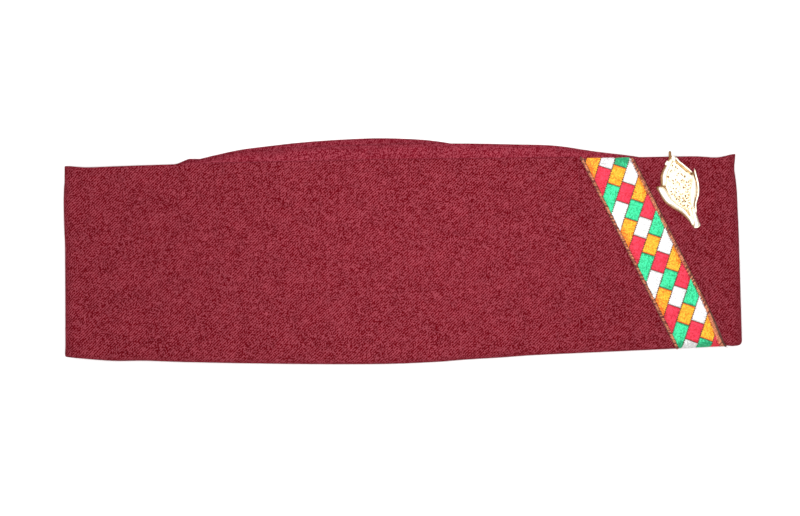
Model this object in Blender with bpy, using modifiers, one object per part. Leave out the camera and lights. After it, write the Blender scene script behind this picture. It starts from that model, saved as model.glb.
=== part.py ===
"""Folding hill cap of maroon wool twill, lying flat on its side.

The cap is boat shaped. A cuff is turned up all round it, and the crown's two side panels stand inside the
cuff, with the top panel folded inwards between them. A patterned ribbon slants across the front of the cuff,
and a gilt brooch in the shape of a flower bud is pinned beside it.

Metres. +X points to the front of the cap, +Y to the crown, -Y is the face opening, and +Z is up from the
floor that the cap lies on. The origin is on the floor under the middle of the cap.
"""

import math

import bmesh
import bpy
from mathutils import Matrix, Vector

MM = 0.001

# Plan of the folded cap
HALF_LENGTH_RIM = 147.3 * MM       # middle to the end fold, at the rim
HALF_LENGTH_TOP = 146.2 * MM       # middle to the end fold, at the cuff's top edge
CUFF_HEIGHT = 83.0 * MM            # rim to top edge, at the end folds
RIM_SAG = 5.5 * MM                 # how far the rim bows down at its lowest place
CROWN_RISE = 9.9 * MM              # how far the crown stands above the cuff at its highest place
CORNER_LIFT = 0.9 * MM             # how far the cuff's top corners are pulled up

# Thickness of the folded cap
FOLD_EASE = 1.0 * MM               # inside radius of the side panels at the end folds
BELLY_THICKNESS = 17.5 * MM        # floor to the highest place of the upper side
CROWN_LEAN = 1.5 * MM              # how far each ridge leans in towards the other

# Cloth and clearances
CUFF_WALL = 2.0 * MM
CROWN_WALL = 1.2 * MM
TOP_WALL = 1.0 * MM
RIBBON_WALL = 1.0 * MM
GAP = 0.3 * MM
EDGE_ROUND = 0.6 * MM              # rounding of the cuff's cut edges
RIM_EASE = 0.2 * MM                # inside radius left at the rolled rim

# Inward fold of the crown's top panel
TOP_HALF_LENGTH = 111.0 * MM
VALLEY_DEPTH = 42.0 * MM           # ridge to the bottom of the fold, in the middle
VALLEY_DEPTH_END = 6.0 * MM        # the same at the panel's two points
TOP_EDGE_SET_BACK = 0.4 * MM       # the top panel's edges lie this far below the ridges

# Ribbon
RIBBON_WIDTH = 19.9 * MM
RIBBON_TOP_SETBACK = 56.0 * MM     # front fold to the middle of the ribbon, at the cuff's top edge
RIBBON_RIM_SETBACK = 18.3 * MM     # front fold to the middle of the ribbon, at the rim

# Brooch
BROOCH_LENGTH = 34.0 * MM          # stem end to the tip of the bud
BROOCH_WIDTH = 17.9 * MM           # left petal tip to the outside of the right petal
BROOCH_SETBACK = 22.4 * MM         # front fold to the middle of the brooch
BROOCH_BELOW_EDGE = 14.9 * MM      # middle of the brooch, down from the cuff's top edge
BROOCH_TILT = math.radians(16.1)   # the bud leans away from the front of the cap
BROOCH_PLATE = 1.1 * MM
BODY_DOME = 2.0 * MM               # height of the bud's body above the plate's back
GRANULE_RADIUS = 0.8 * MM
RIB_FLATNESS = 0.8                 # height of the petals' ribs as a share of their width

# Pin behind the brooch
PIN_DIAMETER = 0.8 * MM
PIN_LENGTH = 17.0 * MM
PIN_ACROSS = -1.6 * MM             # the pin's place across the brooch

# Steps of the lofts
RUN_STEPS = 24                     # along one side of the cuff
PANEL_STEPS = 40                   # along a side panel, which has the finer outline
TOP_STEPS = 26                     # along the top panel
FOLD_STEPS = 6                     # round an end fold
ROUND_STEPS = 3                    # round the rolled rim, and round the cuff's top edge
VALLEY_STEPS = 6                   # round the bottom of the inward fold
RIBBON_STEPS = 12                  # along the ribbon
RIBBON_COLUMNS = 4                 # across the ribbon
EDGE_SLIVER = math.radians(2.0)    # narrow first step of a side panel, which keeps its cut edge square
CUFF_ROWS = (1.0, 0.86, 0.70, 0.52, 0.34, 0.17)                # shares of the height, top edge first
PANEL_ROWS = (1.0, 0.95, 0.88, 0.72, 0.48, 0.24, 0.0)          # shares of a side panel, ridge first
LEG_ROWS = (0.0, 0.12, 0.30, 0.65)                             # shares of the top panel's leg, ridge first

# Curves of the folded cloth
BULGE_POWER = 1.5                  # how the thickness falls from the middle to the end folds
LEAN_POWER = 1.5                   # how a side panel bends in above the cuff
CORNER_SHARE = 0.05                # the pulled-up corners' length, as a share of the half-length

# Rim of the cuff: place along the cap, and sag. Shares of the half-length and of RIM_SAG.
RIM_TABLE = (
    (-1.00, 0.00),
    (-0.86, 0.40),
    (-0.65, 0.58),
    (-0.31, 0.89),
    (-0.05, 1.00),
    (0.10, 0.91),
    (0.37, 0.51),
    (0.65, 0.29),
    (1.00, 0.00),
)

# Ridge of the upper side panel: place along the cap, and rise. Shares of the half-length and of CROWN_RISE.
RIDGE_TABLE_RIGHT = (
    (-1.00, -1.00),
    (-0.80, -0.34),
    (-0.69, -0.04),
    (-0.60, 0.20),
    (-0.52, 0.36),
    (-0.34, 0.65),
    (-0.18, 0.82),
    (-0.03, 0.86),
    (0.10, 0.81),
    (0.24, 0.69),
    (0.37, 0.62),
    (0.46, 0.55),
    (0.55, 0.35),
    (0.65, 0.12),
    (0.72, -0.02),
    (0.82, -0.34),
    (1.00, -1.00),
)

# Ridge of the floor side panel, with the small step where its tip comes out of the cuff.
RIDGE_TABLE_LEFT = (
    (-1.00, -1.00),
    (-0.80, -0.40),
    (-0.70, -0.03),
    (-0.64, 0.20),
    (-0.61, 0.23),
    (-0.57, 0.33),
    (-0.51, 0.52),
    (-0.44, 0.68),
    (-0.30, 0.88),
    (-0.17, 0.98),
    (-0.10, 1.00),
    (0.00, 0.98),
    (0.10, 0.85),
    (0.24, 0.59),
    (0.38, 0.30),
    (0.54, 0.00),
    (0.75, -0.38),
    (1.00, -1.00),
)

# Thickness of the folded cap: place from rim to top edge, and thickness in the middle of the cap.
# Shares of the height and of BELLY_THICKNESS.
THICKNESS_TABLE = (
    (0.00, 0.90),
    (0.14, 0.96),
    (0.42, 1.00),
    (0.76, 0.95),
    (1.00, 0.86),
    (1.20, 0.83),
)

# Outline of the brooch, from the tip of the bud round by the right. Across and along the brooch, as shares
# of BROOCH_WIDTH and BROOCH_LENGTH from its middle.
BROOCH_OUTLINE = (
    (0.03, 0.48),
    (0.11, 0.34),
    (0.22, 0.26),
    (0.28, 0.19),
    (0.34, 0.21),
    (0.36, 0.10),
    (0.35, -0.03),
    (0.28, -0.12),
    (0.17, -0.20),
    (0.09, -0.32),
    (0.06, -0.41),
    (0.10, -0.48),
    (0.02, -0.50),
    (-0.08, -0.49),
    (-0.12, -0.40),
    (-0.21, -0.30),
    (-0.33, -0.22),
    (-0.48, -0.13),
    (-0.58, -0.04),
    (-0.64, 0.13),
    (-0.50, 0.13),
    (-0.44, 0.23),
    (-0.38, 0.30),
    (-0.26, 0.37),
    (-0.14, 0.46),
    (-0.09, 0.50),
    (-0.05, 0.47),
)

# Raised ribs of the brooch: across, along, and the rib's half-width as a share of BROOCH_WIDTH.
LEFT_PETAL = (
    (-0.59, 0.09, 0.020),
    (-0.52, 0.00, 0.055),
    (-0.41, -0.11, 0.075),
    (-0.26, -0.20, 0.070),
    (-0.13, -0.30, 0.055),
    (-0.07, -0.38, 0.040),
)
RIGHT_PETAL = (
    (0.31, 0.17, 0.020),
    (0.31, 0.08, 0.045),
    (0.28, -0.03, 0.060),
    (0.19, -0.13, 0.060),
    (0.10, -0.22, 0.050),
    (0.05, -0.31, 0.040),
)
RIGHT_BORDER = (
    (0.02, 0.44, 0.020),
    (0.08, 0.35, 0.030),
    (0.17, 0.27, 0.030),
    (0.25, 0.18, 0.025),
)
LEFT_BORDER = (
    (-0.08, 0.47, 0.018),
    (-0.22, 0.36, 0.030),
    (-0.37, 0.26, 0.030),
    (-0.45, 0.14, 0.025),
)
STEM = (
    (-0.01, -0.28, 0.045),
    (-0.01, -0.38, 0.060),
    (0.00, -0.44, 0.055),
    (0.02, -0.48, 0.075),
)

# Domed body of the bud, and the rings of granules on it.
BODY_ACROSS = -0.09                # middle of the body, share of BROOCH_WIDTH
BODY_ALONG = 0.10                  # share of BROOCH_LENGTH
BODY_HALF_WIDTH = 0.30             # share of BROOCH_WIDTH
BODY_HALF_LENGTH = 0.25            # share of BROOCH_LENGTH
GRANULE_RINGS = (                  # granules in the ring, and its radius as a share of the body
    (1, 0.00),
    (6, 0.40),
    (11, 0.74),
)

TOTAL_DEPTH = CUFF_HEIGHT + RIM_SAG + CROWN_RISE
RIM_Y = RIM_SAG - TOTAL_DEPTH / 2                        # the rim at the end folds
TOP_Y = RIM_Y + CUFF_HEIGHT                              # the cuff's straight top edge
CROWN_INSET = CUFF_WALL + GAP                            # cuff's face to the side panel's face
LIP_INSET = CROWN_INSET + CROWN_WALL                     # how far the rolled rim reaches inwards
TOP_INSET = LIP_INSET + GAP                              # cuff's face to the top panel's face
FOLD_RADIUS = LIP_INSET + FOLD_EASE                      # outside radius of the end folds
FOLD_GAP = math.asin(GAP / 2 / FOLD_EASE)                # the side panels stop this far from a fold's middle
RIM_ROUND = CUFF_WALL + RIM_EASE                         # outside radius of the rolled rim
PANEL_FOOT = CUFF_WALL + GAP                             # the side panels stand this far above the rim
RIBBON_TOP_X = HALF_LENGTH_TOP - RIBBON_TOP_SETBACK
RIBBON_RIM_X = HALF_LENGTH_RIM - RIBBON_RIM_SETBACK
BROOCH_X = HALF_LENGTH_TOP - BROOCH_SETBACK
SLOT_DEPTH = PIN_DIAMETER + 2 * GAP
SLOT_WIDTH = PIN_DIAMETER + 2 * GAP

CLOTH_COLOUR = (0.27, 0.028, 0.045, 1.0)
CROWN_COLOUR = (0.30, 0.032, 0.050, 1.0)
RIBBON_COLOUR = (0.85, 0.35, 0.05, 1.0)
GILT_COLOUR = (0.90, 0.66, 0.30, 1.0)
STEEL_COLOUR = (0.55, 0.52, 0.48, 1.0)


def clear_scene():
    """Remove everything that the scene holds."""
    for thing in list(bpy.data.objects):
        bpy.data.objects.remove(thing, do_unlink=True)


def new_collection(name):
    """A collection linked to the scene."""
    collection = bpy.data.collections.new(name)
    bpy.context.scene.collection.children.link(collection)
    return collection


def make_material(name, colour, roughness, metallic=0.0):
    """A material with one Principled BSDF."""
    material = bpy.data.materials.new(name)
    material.use_nodes = True
    shader = material.node_tree.nodes["Principled BSDF"]
    shader.inputs["Base Color"].default_value = colour
    shader.inputs["Roughness"].default_value = roughness
    shader.inputs["Metallic"].default_value = metallic
    return material


def object_from(mesh_builder, name, collection, material=None):
    """An object from a bmesh, in a collection, shaded smooth with sharp creases."""
    mesh = bpy.data.meshes.new(name)
    mesh_builder.to_mesh(mesh)
    mesh_builder.free()
    thing = bpy.data.objects.new(name, mesh)
    collection.objects.link(thing)
    if material:
        mesh.materials.append(material)
    mesh.shade_smooth()
    mesh.set_sharp_from_angle(angle=math.radians(40))
    return thing


def as_guide(thing):
    """Mark an object that only cuts or joins another one."""
    thing.hide_render = True
    thing.display_type = "WIRE"


def read_table(rows, place):
    """The value at a place, on one smooth curve through the (place, value) rows of a table."""
    last = len(rows) - 1
    if place <= rows[0][0]:
        return rows[0][1]
    if place >= rows[last][0]:
        return rows[last][1]
    index = 0
    while place > rows[index + 1][0]:
        index += 1
    before = rows[max(index - 1, 0)]
    start = rows[index]
    end = rows[index + 1]
    after = rows[min(index + 2, last)]
    width = end[0] - start[0]
    slope_start = (end[1] - before[1]) / (end[0] - before[0]) * width
    slope_end = (after[1] - start[1]) / (after[0] - start[0]) * width
    t = (place - start[0]) / width
    return (
        start[1] * (2 * t ** 3 - 3 * t ** 2 + 1)
        + slope_start * (t ** 3 - 2 * t ** 2 + t)
        + end[1] * (3 * t ** 2 - 2 * t ** 3)
        + slope_end * (t ** 3 - t ** 2)
    )


def rim_y(along):
    """Where the rim runs, at a share of the half-length."""
    return RIM_Y - RIM_SAG * read_table(RIM_TABLE, along)


def edge_y(along):
    """Where the cuff's top edge runs: straight, with its corners pulled up a little."""
    corner = max(0.0, (abs(along) - 1 + CORNER_SHARE) / CORNER_SHARE)
    return TOP_Y + CORNER_LIFT * min(corner, 1.0) ** 2


def ridge_y(along, table):
    """Where the ridge of a side panel runs."""
    return TOP_Y + CROWN_RISE * read_table(table, along)


def height_share(along, y):
    """Share of the way from the rim up to the cuff's top edge."""
    low = rim_y(along)
    return (y - low) / (edge_y(along) - low)


def half_length(share):
    """Middle to end fold at a share of the height."""
    share = min(max(share, 0.0), 1.0)
    return HALF_LENGTH_RIM + (HALF_LENGTH_TOP - HALF_LENGTH_RIM) * share


def place_along(run, turn):
    """Share of the half-length that a station lies at."""
    reach = HALF_LENGTH_RIM - FOLD_RADIUS
    side = math.copysign(FOLD_RADIUS, run)
    return (run * reach + side * math.cos(turn)) / HALF_LENGTH_RIM


def cap_point(run, turn, y, inset):
    """A point of the folded cloth, inset from the outside of the cuff.

    run is the share of the straight run between the two end folds. turn is 90 degrees on the upper side and
    -90 on the floor side, and goes from one to the other round an end fold, where run is 1 or -1.
    """
    along = place_along(run, turn)
    share = height_share(along, y)
    reach = half_length(share) - FOLD_RADIUS
    radius = FOLD_RADIUS - inset
    x = run * reach + math.copysign(radius, run) * math.cos(turn)
    above_edge = max(0.0, y - TOP_Y) / CROWN_RISE
    lean = CROWN_LEAN * above_edge ** LEAN_POWER
    z = FOLD_RADIUS + (radius - lean) * math.sin(turn)
    if turn > 0:
        thickness = BELLY_THICKNESS * read_table(THICKNESS_TABLE, share)
        bulge = max(0.0, 1 - run ** 2) ** BULGE_POWER
        z += (thickness - 2 * FOLD_RADIUS) * bulge
    return Vector((x, y, z))


def upper_stations():
    """Stations of a side panel over the upper side, from the front fold to the back fold, as (run, turn)."""
    quarter = FOLD_STEPS // 2
    top = math.pi / 2
    turns = [FOLD_GAP, FOLD_GAP + EDGE_SLIVER]
    turns += [FOLD_GAP + (top - FOLD_GAP) * i / quarter for i in range(1, quarter)]
    stations = [(1.0, turn) for turn in turns]
    stations += [(1.0 - 2.0 * i / PANEL_STEPS, top) for i in range(PANEL_STEPS + 1)]
    stations += [(-1.0, turn) for turn in reversed(turns)]
    return stations


def lower_stations():
    """Stations of a side panel over the floor side, from the back fold to the front fold."""
    return [(-run, -turn) for run, turn in upper_stations()]


def shaped_grid(columns, rows, place):
    """A flat grid of faces, each of whose vertices is moved to place(column, row)."""
    grid = bmesh.new()
    bmesh.ops.create_grid(grid, x_segments=columns, y_segments=rows, size=0.5)
    for vert in grid.verts:
        column = round((vert.co.x + 0.5) * columns)
        row = round((vert.co.y + 0.5) * rows)
        vert.co = place(column, row)
    return grid


def thicken(thing, wall, offset):
    """Give an open surface its wall, inwards for an offset of -1 and outwards for 1."""
    shell = thing.modifiers.new("wall", "SOLIDIFY")
    shell.thickness = wall
    shell.offset = offset
    shell.use_even_offset = True


def cuff_rows():
    """The cuff from its top edge down to the end of its rolled rim, as functions of the place along it."""
    rows = []
    for share in CUFF_ROWS:
        rows.append((lambda along, share=share: rim_y(along) + share * (edge_y(along) - rim_y(along)), 0.0))
    for step in range(ROUND_STEPS + 1):
        angle = math.pi / 2 * step / ROUND_STEPS
        rise = RIM_ROUND * (1 - math.sin(angle))
        rows.append((lambda along, rise=rise: rim_y(along) + rise, RIM_ROUND * (1 - math.cos(angle))))
    rows.append((rim_y, LIP_INSET))
    return rows


def make_cuff(parts, cutters, brooch_frame):
    """The turned-up band: a flattened ring of cloth with a rolled rim, and a slot for the brooch's pin."""
    stations = [(1.0, math.radians(-90 + 180 * i / FOLD_STEPS)) for i in range(FOLD_STEPS)]
    stations += [(1.0 - 2.0 * i / RUN_STEPS, math.pi / 2) for i in range(RUN_STEPS)]
    stations += [(-run, -turn) for run, turn in stations]
    rows = cuff_rows()

    def place(column, row):
        run, turn = stations[column % len(stations)]
        height, inset = rows[row]
        return cap_point(run, turn, height(place_along(run, turn)), inset)

    surface = shaped_grid(len(stations), len(rows) - 1, place)
    bmesh.ops.remove_doubles(surface, verts=surface.verts, dist=0.00001)
    cuff = object_from(surface, "cuff", parts, make_material("cuff twill", CLOTH_COLOUR, 0.9))
    thicken(cuff, CUFF_WALL, -1.0)
    rounding = cuff.modifiers.new("rounding", "BEVEL")
    rounding.width = EDGE_ROUND
    rounding.segments = 2
    rounding.limit_method = "ANGLE"
    rounding.angle_limit = math.radians(60)

    slot = bmesh.new()
    bmesh.ops.create_cube(slot, size=1.0)
    length = PIN_LENGTH + PIN_DIAMETER + 2 * GAP
    above = SLOT_DEPTH
    bmesh.ops.scale(slot, verts=slot.verts, vec=(SLOT_WIDTH, length, SLOT_DEPTH + above))
    bmesh.ops.translate(slot, verts=slot.verts, vec=(PIN_ACROSS, 0.0, (above - SLOT_DEPTH) / 2 - GAP))
    slot_object = object_from(slot, "pin_slot", cutters)
    slot_object.matrix_world = brooch_frame
    as_guide(slot_object)
    cut = cuff.modifiers.new("pin slot", "BOOLEAN")
    cut.operation = "DIFFERENCE"
    cut.solver = "EXACT"
    cut.object = slot_object


def make_crown_side(parts, name, stations, table, material):
    """A side panel of the crown, from its ridge down to its foot on the cuff's rolled rim."""

    def place(column, row):
        run, turn = stations[column]
        along = place_along(run, turn)
        foot = rim_y(along) + PANEL_FOOT
        y = foot + PANEL_ROWS[row] * (ridge_y(along, table) - foot)
        return cap_point(run, turn, y, CROWN_INSET)

    surface = shaped_grid(len(stations) - 1, len(PANEL_ROWS) - 1, place)
    panel = object_from(surface, name, parts, material)
    thicken(panel, CROWN_WALL, -1.0)


def make_crown_top(parts, material):
    """The top panel: lens shaped and folded inwards, with one leg along each side panel."""
    last_row = 2 * len(LEG_ROWS) + VALLEY_STEPS
    floor_side = -math.pi / 2
    upper_side = math.pi / 2

    def place(column, row):
        share = 2.0 * column / TOP_STEPS - 1.0
        run = share * TOP_HALF_LENGTH / (HALF_LENGTH_RIM - FOLD_RADIUS)
        along = place_along(run, upper_side)
        ridges = (ridge_y(along, RIDGE_TABLE_LEFT), ridge_y(along, RIDGE_TABLE_RIGHT))
        fade = math.sqrt(max(0.0, 1.0 - share ** 2))
        valley = min(ridges) - VALLEY_DEPTH_END - (VALLEY_DEPTH - VALLEY_DEPTH_END) * fade
        low = cap_point(run, floor_side, valley, TOP_INSET)
        high = cap_point(run, upper_side, valley, TOP_INSET)
        radius = (high.z - low.z) / 2
        from_end = last_row - row
        if row < len(LEG_ROWS):
            start = ridges[0] - TOP_EDGE_SET_BACK
            y = start + LEG_ROWS[row] * (valley + radius - start)
            return cap_point(run, floor_side, y, TOP_INSET)
        if from_end < len(LEG_ROWS):
            start = ridges[1] - TOP_EDGE_SET_BACK
            y = start + LEG_ROWS[from_end] * (valley + radius - start)
            return cap_point(run, upper_side, y, TOP_INSET)
        angle = math.pi * (row - len(LEG_ROWS)) / VALLEY_STEPS
        middle = (high + low) / 2
        return Vector((low.x, valley + radius * (1 - math.sin(angle)), middle.z - radius * math.cos(angle)))

    surface = shaped_grid(TOP_STEPS, last_row, place)
    top = object_from(surface, "crown_top", parts, material)
    thicken(top, TOP_WALL, -1.0)


def ribbon_rows():
    """The ribbon from its end under the rim, up the cuff and over its top edge: the share of the height at
    which the row lies across the cuff, its height from the rim or from the top edge, and its inset."""
    rows = [(0.0, -GAP, None, LIP_INSET - GAP)]
    for step in range(ROUND_STEPS + 1):
        angle = math.pi / 2 * (1 - step / ROUND_STEPS)
        reach = RIM_ROUND + GAP
        rows.append((0.0, RIM_ROUND - reach * math.sin(angle), None, RIM_ROUND - reach * math.cos(angle)))
    for step in range(1, RIBBON_STEPS):
        rows.append((step / RIBBON_STEPS, None, None, -GAP))
    for step in range(ROUND_STEPS + 1):
        angle = math.pi / 2 * step / ROUND_STEPS
        reach = EDGE_ROUND + GAP
        rows.append((1.0, None, reach * math.sin(angle) - EDGE_ROUND, EDGE_ROUND - reach * math.cos(angle)))
    rows.append((1.0, None, GAP, CUFF_WALL))
    return rows


def upper_face(x, y_of, inset):
    """A point over the upper side of the cap at x, with its y from a function of the place along."""
    along = x / HALF_LENGTH_RIM
    y = y_of(along)
    reach = half_length(height_share(along, y)) - FOLD_RADIUS
    return cap_point(x / reach, math.pi / 2, y, inset)


def make_ribbon(parts):
    """The slanting ribbon, wrapped over the cuff's top edge and round its rim."""
    rows = ribbon_rows()
    slant = math.atan2(RIBBON_RIM_X - RIBBON_TOP_X, CUFF_HEIGHT)
    half_width = RIBBON_WIDTH / 2 / math.cos(slant)

    def place(column, row):
        share, from_rim, from_edge, inset = rows[row]
        middle = RIBBON_RIM_X + (RIBBON_TOP_X - RIBBON_RIM_X) * share
        x = middle + (2.0 * column / RIBBON_COLUMNS - 1.0) * half_width

        def y_of(along):
            if from_rim is not None:
                return rim_y(along) + from_rim
            if from_edge is not None:
                return edge_y(along) + from_edge
            return rim_y(along) + share * (edge_y(along) - rim_y(along))

        return upper_face(x, y_of, inset)

    surface = shaped_grid(RIBBON_COLUMNS, len(rows) - 1, place)
    ribbon = object_from(surface, "ribbon", parts, make_material("ribbon weave", RIBBON_COLOUR, 0.6))
    thicken(ribbon, RIBBON_WALL, 1.0)


def find_brooch_frame():
    """The place and turn of the brooch's back, a clearance above the cuff's upper face."""
    centre_y = TOP_Y - BROOCH_BELOW_EDGE
    step = BROOCH_WIDTH / 4
    centre = upper_face(BROOCH_X, lambda along: centre_y, -GAP)
    to_front = upper_face(BROOCH_X + step, lambda along: centre_y, -GAP) - centre
    to_crown = upper_face(BROOCH_X, lambda along: centre_y + step, -GAP) - centre
    up = to_front.cross(to_crown).normalized()
    front = to_crown.cross(up).normalized()
    crown = up.cross(front)
    turn = Matrix((front, crown, up)).transposed().to_4x4()
    return Matrix.Translation(centre) @ turn @ Matrix.Rotation(BROOCH_TILT, 4, "Z")


def brooch_point(across, along, height):
    """A point of the brooch from its shares across and along."""
    return Vector((across * BROOCH_WIDTH, along * BROOCH_LENGTH, height))


def mesh_from_curve(curve, name):
    """A mesh builder made from a curve, with its caps welded on."""
    guide = bpy.data.objects.new(name, curve)
    bpy.context.scene.collection.objects.link(guide)
    graph = bpy.context.evaluated_depsgraph_get()
    mesh = bpy.data.meshes.new_from_object(guide.evaluated_get(graph))
    shape = bmesh.new()
    shape.from_mesh(mesh)
    bmesh.ops.remove_doubles(shape, verts=shape.verts, dist=0.000001)
    bpy.data.objects.remove(guide, do_unlink=True)
    return shape


def make_plate(brooch_frame, parts):
    """The brooch's flat back plate in the bud's outline."""
    curve = bpy.data.curves.new("plate outline", "CURVE")
    curve.dimensions = "2D"
    curve.fill_mode = "BOTH"
    curve.extrude = BROOCH_PLATE / 2
    spline = curve.splines.new("POLY")
    spline.points.add(len(BROOCH_OUTLINE) - 1)
    spline.use_cyclic_u = True
    for point, (across, along) in zip(spline.points, BROOCH_OUTLINE):
        point.co = (*brooch_point(across, along, 0.0), 1.0)
    plate = mesh_from_curve(curve, "plate")
    bmesh.ops.translate(plate, verts=plate.verts, vec=(0.0, 0.0, BROOCH_PLATE / 2))
    brooch = object_from(plate, "brooch", parts, make_material("gilt", GILT_COLOUR, 0.25, 1.0))
    brooch.matrix_world = brooch_frame
    return brooch


def make_rib(name, table, relief, brooch_frame):
    """A raised rib along a smooth line, half sunk in the plate."""
    curve = bpy.data.curves.new(name, "CURVE")
    curve.dimensions = "3D"
    curve.bevel_depth = 1.0
    curve.bevel_resolution = 1
    curve.use_fill_caps = True
    steps = 2 * (len(table) - 1)
    spline = curve.splines.new("POLY")
    spline.points.add(steps)
    across_rows = [(index, row[0]) for index, row in enumerate(table)]
    along_rows = [(index, row[1]) for index, row in enumerate(table)]
    width_rows = [(index, row[2]) for index, row in enumerate(table)]
    for step, point in enumerate(spline.points):
        at = step / 2
        middle = brooch_point(read_table(across_rows, at), read_table(along_rows, at), 0.0)
        point.co = (*middle, 1.0)
        point.radius = read_table(width_rows, at) * BROOCH_WIDTH
    rib = mesh_from_curve(curve, name)
    bmesh.ops.scale(rib, verts=rib.verts, vec=(1.0, 1.0, RIB_FLATNESS))
    bmesh.ops.translate(rib, verts=rib.verts, vec=(0.0, 0.0, BROOCH_PLATE))
    add_relief(rib, name, relief, brooch_frame)


def add_relief(shape, name, relief, brooch_frame):
    """A raised form that is fused to the brooch's plate."""
    thing = object_from(shape, name, relief)
    thing.matrix_world = brooch_frame
    as_guide(thing)


def make_body(relief, brooch_frame):
    """The bud's domed body with its rings of granules."""
    half_width = BODY_HALF_WIDTH * BROOCH_WIDTH
    half_length_body = BODY_HALF_LENGTH * BROOCH_LENGTH
    seat = BROOCH_PLATE / 2
    dome_height = BODY_DOME - seat
    middle = brooch_point(BODY_ACROSS, BODY_ALONG, seat)

    dome = bmesh.new()
    bmesh.ops.create_uvsphere(dome, u_segments=16, v_segments=8, radius=1.0)
    below = [vert for vert in dome.verts if vert.co.z < -0.01]
    bmesh.ops.delete(dome, geom=below, context="VERTS")
    bmesh.ops.holes_fill(dome, edges=[edge for edge in dome.edges if edge.is_boundary], sides=16)
    bmesh.ops.scale(dome, verts=dome.verts, vec=(half_width, half_length_body, dome_height))
    bmesh.ops.translate(dome, verts=dome.verts, vec=middle)
    add_relief(dome, "bud_dome", relief, brooch_frame)

    for ring, (count, spread) in enumerate(GRANULE_RINGS):
        for index in range(count):
            angle = 2 * math.pi * index / count
            offset = Vector((
                half_width * spread * math.cos(angle),
                half_length_body * spread * math.sin(angle),
                dome_height * math.sqrt(1 - spread ** 2),
            ))
            granule = bmesh.new()
            bmesh.ops.create_icosphere(granule, subdivisions=1, radius=GRANULE_RADIUS)
            bmesh.ops.translate(granule, verts=granule.verts, vec=middle + offset)
            add_relief(granule, f"granule_{ring}_{index}", relief, brooch_frame)


def make_brooch(parts, relief, brooch_frame):
    """The bud: a plate with its body, petals, borders and stem fused on."""
    brooch = make_plate(brooch_frame, parts)
    ribs = {
        "left_petal": LEFT_PETAL,
        "right_petal": RIGHT_PETAL,
        "left_border": LEFT_BORDER,
        "right_border": RIGHT_BORDER,
        "stem": STEM,
    }
    for name, table in ribs.items():
        make_rib(name, table, relief, brooch_frame)
    make_body(relief, brooch_frame)
    join = brooch.modifiers.new("relief", "BOOLEAN")
    join.operation = "UNION"
    join.solver = "EXACT"
    join.use_self = True
    join.operand_type = "COLLECTION"
    join.collection = relief


def make_pin(parts, brooch_frame):
    """The hidden pin: a straight wire in the cuff's slot, with both ends turned up to the brooch's back."""
    curve = bpy.data.curves.new("brooch_pin", "CURVE")
    curve.dimensions = "3D"
    curve.bevel_depth = PIN_DIAMETER / 2
    curve.bevel_resolution = 2
    curve.use_fill_caps = True
    low = -GAP - SLOT_DEPTH / 2
    places = (
        (-PIN_LENGTH / 2, -GAP),
        (-PIN_LENGTH / 2, low),
        (PIN_LENGTH / 2, low),
        (PIN_LENGTH / 2, -GAP),
    )
    spline = curve.splines.new("POLY")
    spline.points.add(len(places) - 1)
    for point, (along, height) in zip(spline.points, places):
        point.co = (PIN_ACROSS, along, height, 1.0)
    shape = mesh_from_curve(curve, "brooch_pin")
    pin = object_from(shape, "brooch_pin", parts, make_material("pin steel", STEEL_COLOUR, 0.35, 1.0))
    pin.matrix_world = brooch_frame


def main():
    """Build the cap from its named pieces."""
    clear_scene()
    parts = new_collection("folding_hill_cap")
    cutters = new_collection("cutters")
    relief = new_collection("brooch_relief")
    brooch_frame = find_brooch_frame()

    make_cuff(parts, cutters, brooch_frame)
    crown_twill = make_material("crown twill", CROWN_COLOUR, 0.9)
    make_crown_side(parts, "crown_side_right", upper_stations(), RIDGE_TABLE_RIGHT, crown_twill)
    make_crown_side(parts, "crown_side_left", lower_stations(), RIDGE_TABLE_LEFT, crown_twill)
    make_crown_top(parts, crown_twill)
    make_ribbon(parts)
    make_brooch(parts, relief, brooch_frame)
    make_pin(parts, brooch_frame)


main()
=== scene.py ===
# %% [markdown]
# # A folding hill cap of maroon wool twill
#
# The cap lies flat on its side. A cuff is turned up all round it, a crown with an inward fold stands
# inside the cuff, a patterned ribbon slants over the front, and a gilt brooch in the shape of a flower
# bud sits beside it.
#
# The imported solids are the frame. They say where each piece is, how long and how thick. This script gives
# the pieces their finer forms and their finishes, and leaves the sizes alone.

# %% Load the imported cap
import random
from math import acos, asin, atan, atan2, copysign, cos, degrees, exp, hypot, pi, radians, sin, sqrt

import bmesh
import bpy
from mathutils import Matrix, Vector, noise


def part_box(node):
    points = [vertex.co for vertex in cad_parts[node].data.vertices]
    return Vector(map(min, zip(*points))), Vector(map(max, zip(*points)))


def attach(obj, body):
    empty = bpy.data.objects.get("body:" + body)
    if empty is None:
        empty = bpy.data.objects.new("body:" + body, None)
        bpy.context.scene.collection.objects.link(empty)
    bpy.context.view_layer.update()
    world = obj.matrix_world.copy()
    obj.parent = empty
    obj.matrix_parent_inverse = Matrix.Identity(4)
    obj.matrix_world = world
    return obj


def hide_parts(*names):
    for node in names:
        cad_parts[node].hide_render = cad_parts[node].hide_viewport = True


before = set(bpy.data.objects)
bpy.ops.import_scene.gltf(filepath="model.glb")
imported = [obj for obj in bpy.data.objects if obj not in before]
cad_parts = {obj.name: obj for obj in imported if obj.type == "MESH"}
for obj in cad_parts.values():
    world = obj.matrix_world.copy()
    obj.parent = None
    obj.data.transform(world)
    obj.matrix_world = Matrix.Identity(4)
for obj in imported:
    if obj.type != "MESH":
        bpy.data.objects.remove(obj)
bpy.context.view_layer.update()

MM = 0.001
for node in sorted(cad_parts):
    low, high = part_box(node)
    size = [round((b - a) / MM, 1) for a, b in zip(low, high)]
    print("node", node, "size in mm", size)

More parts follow.
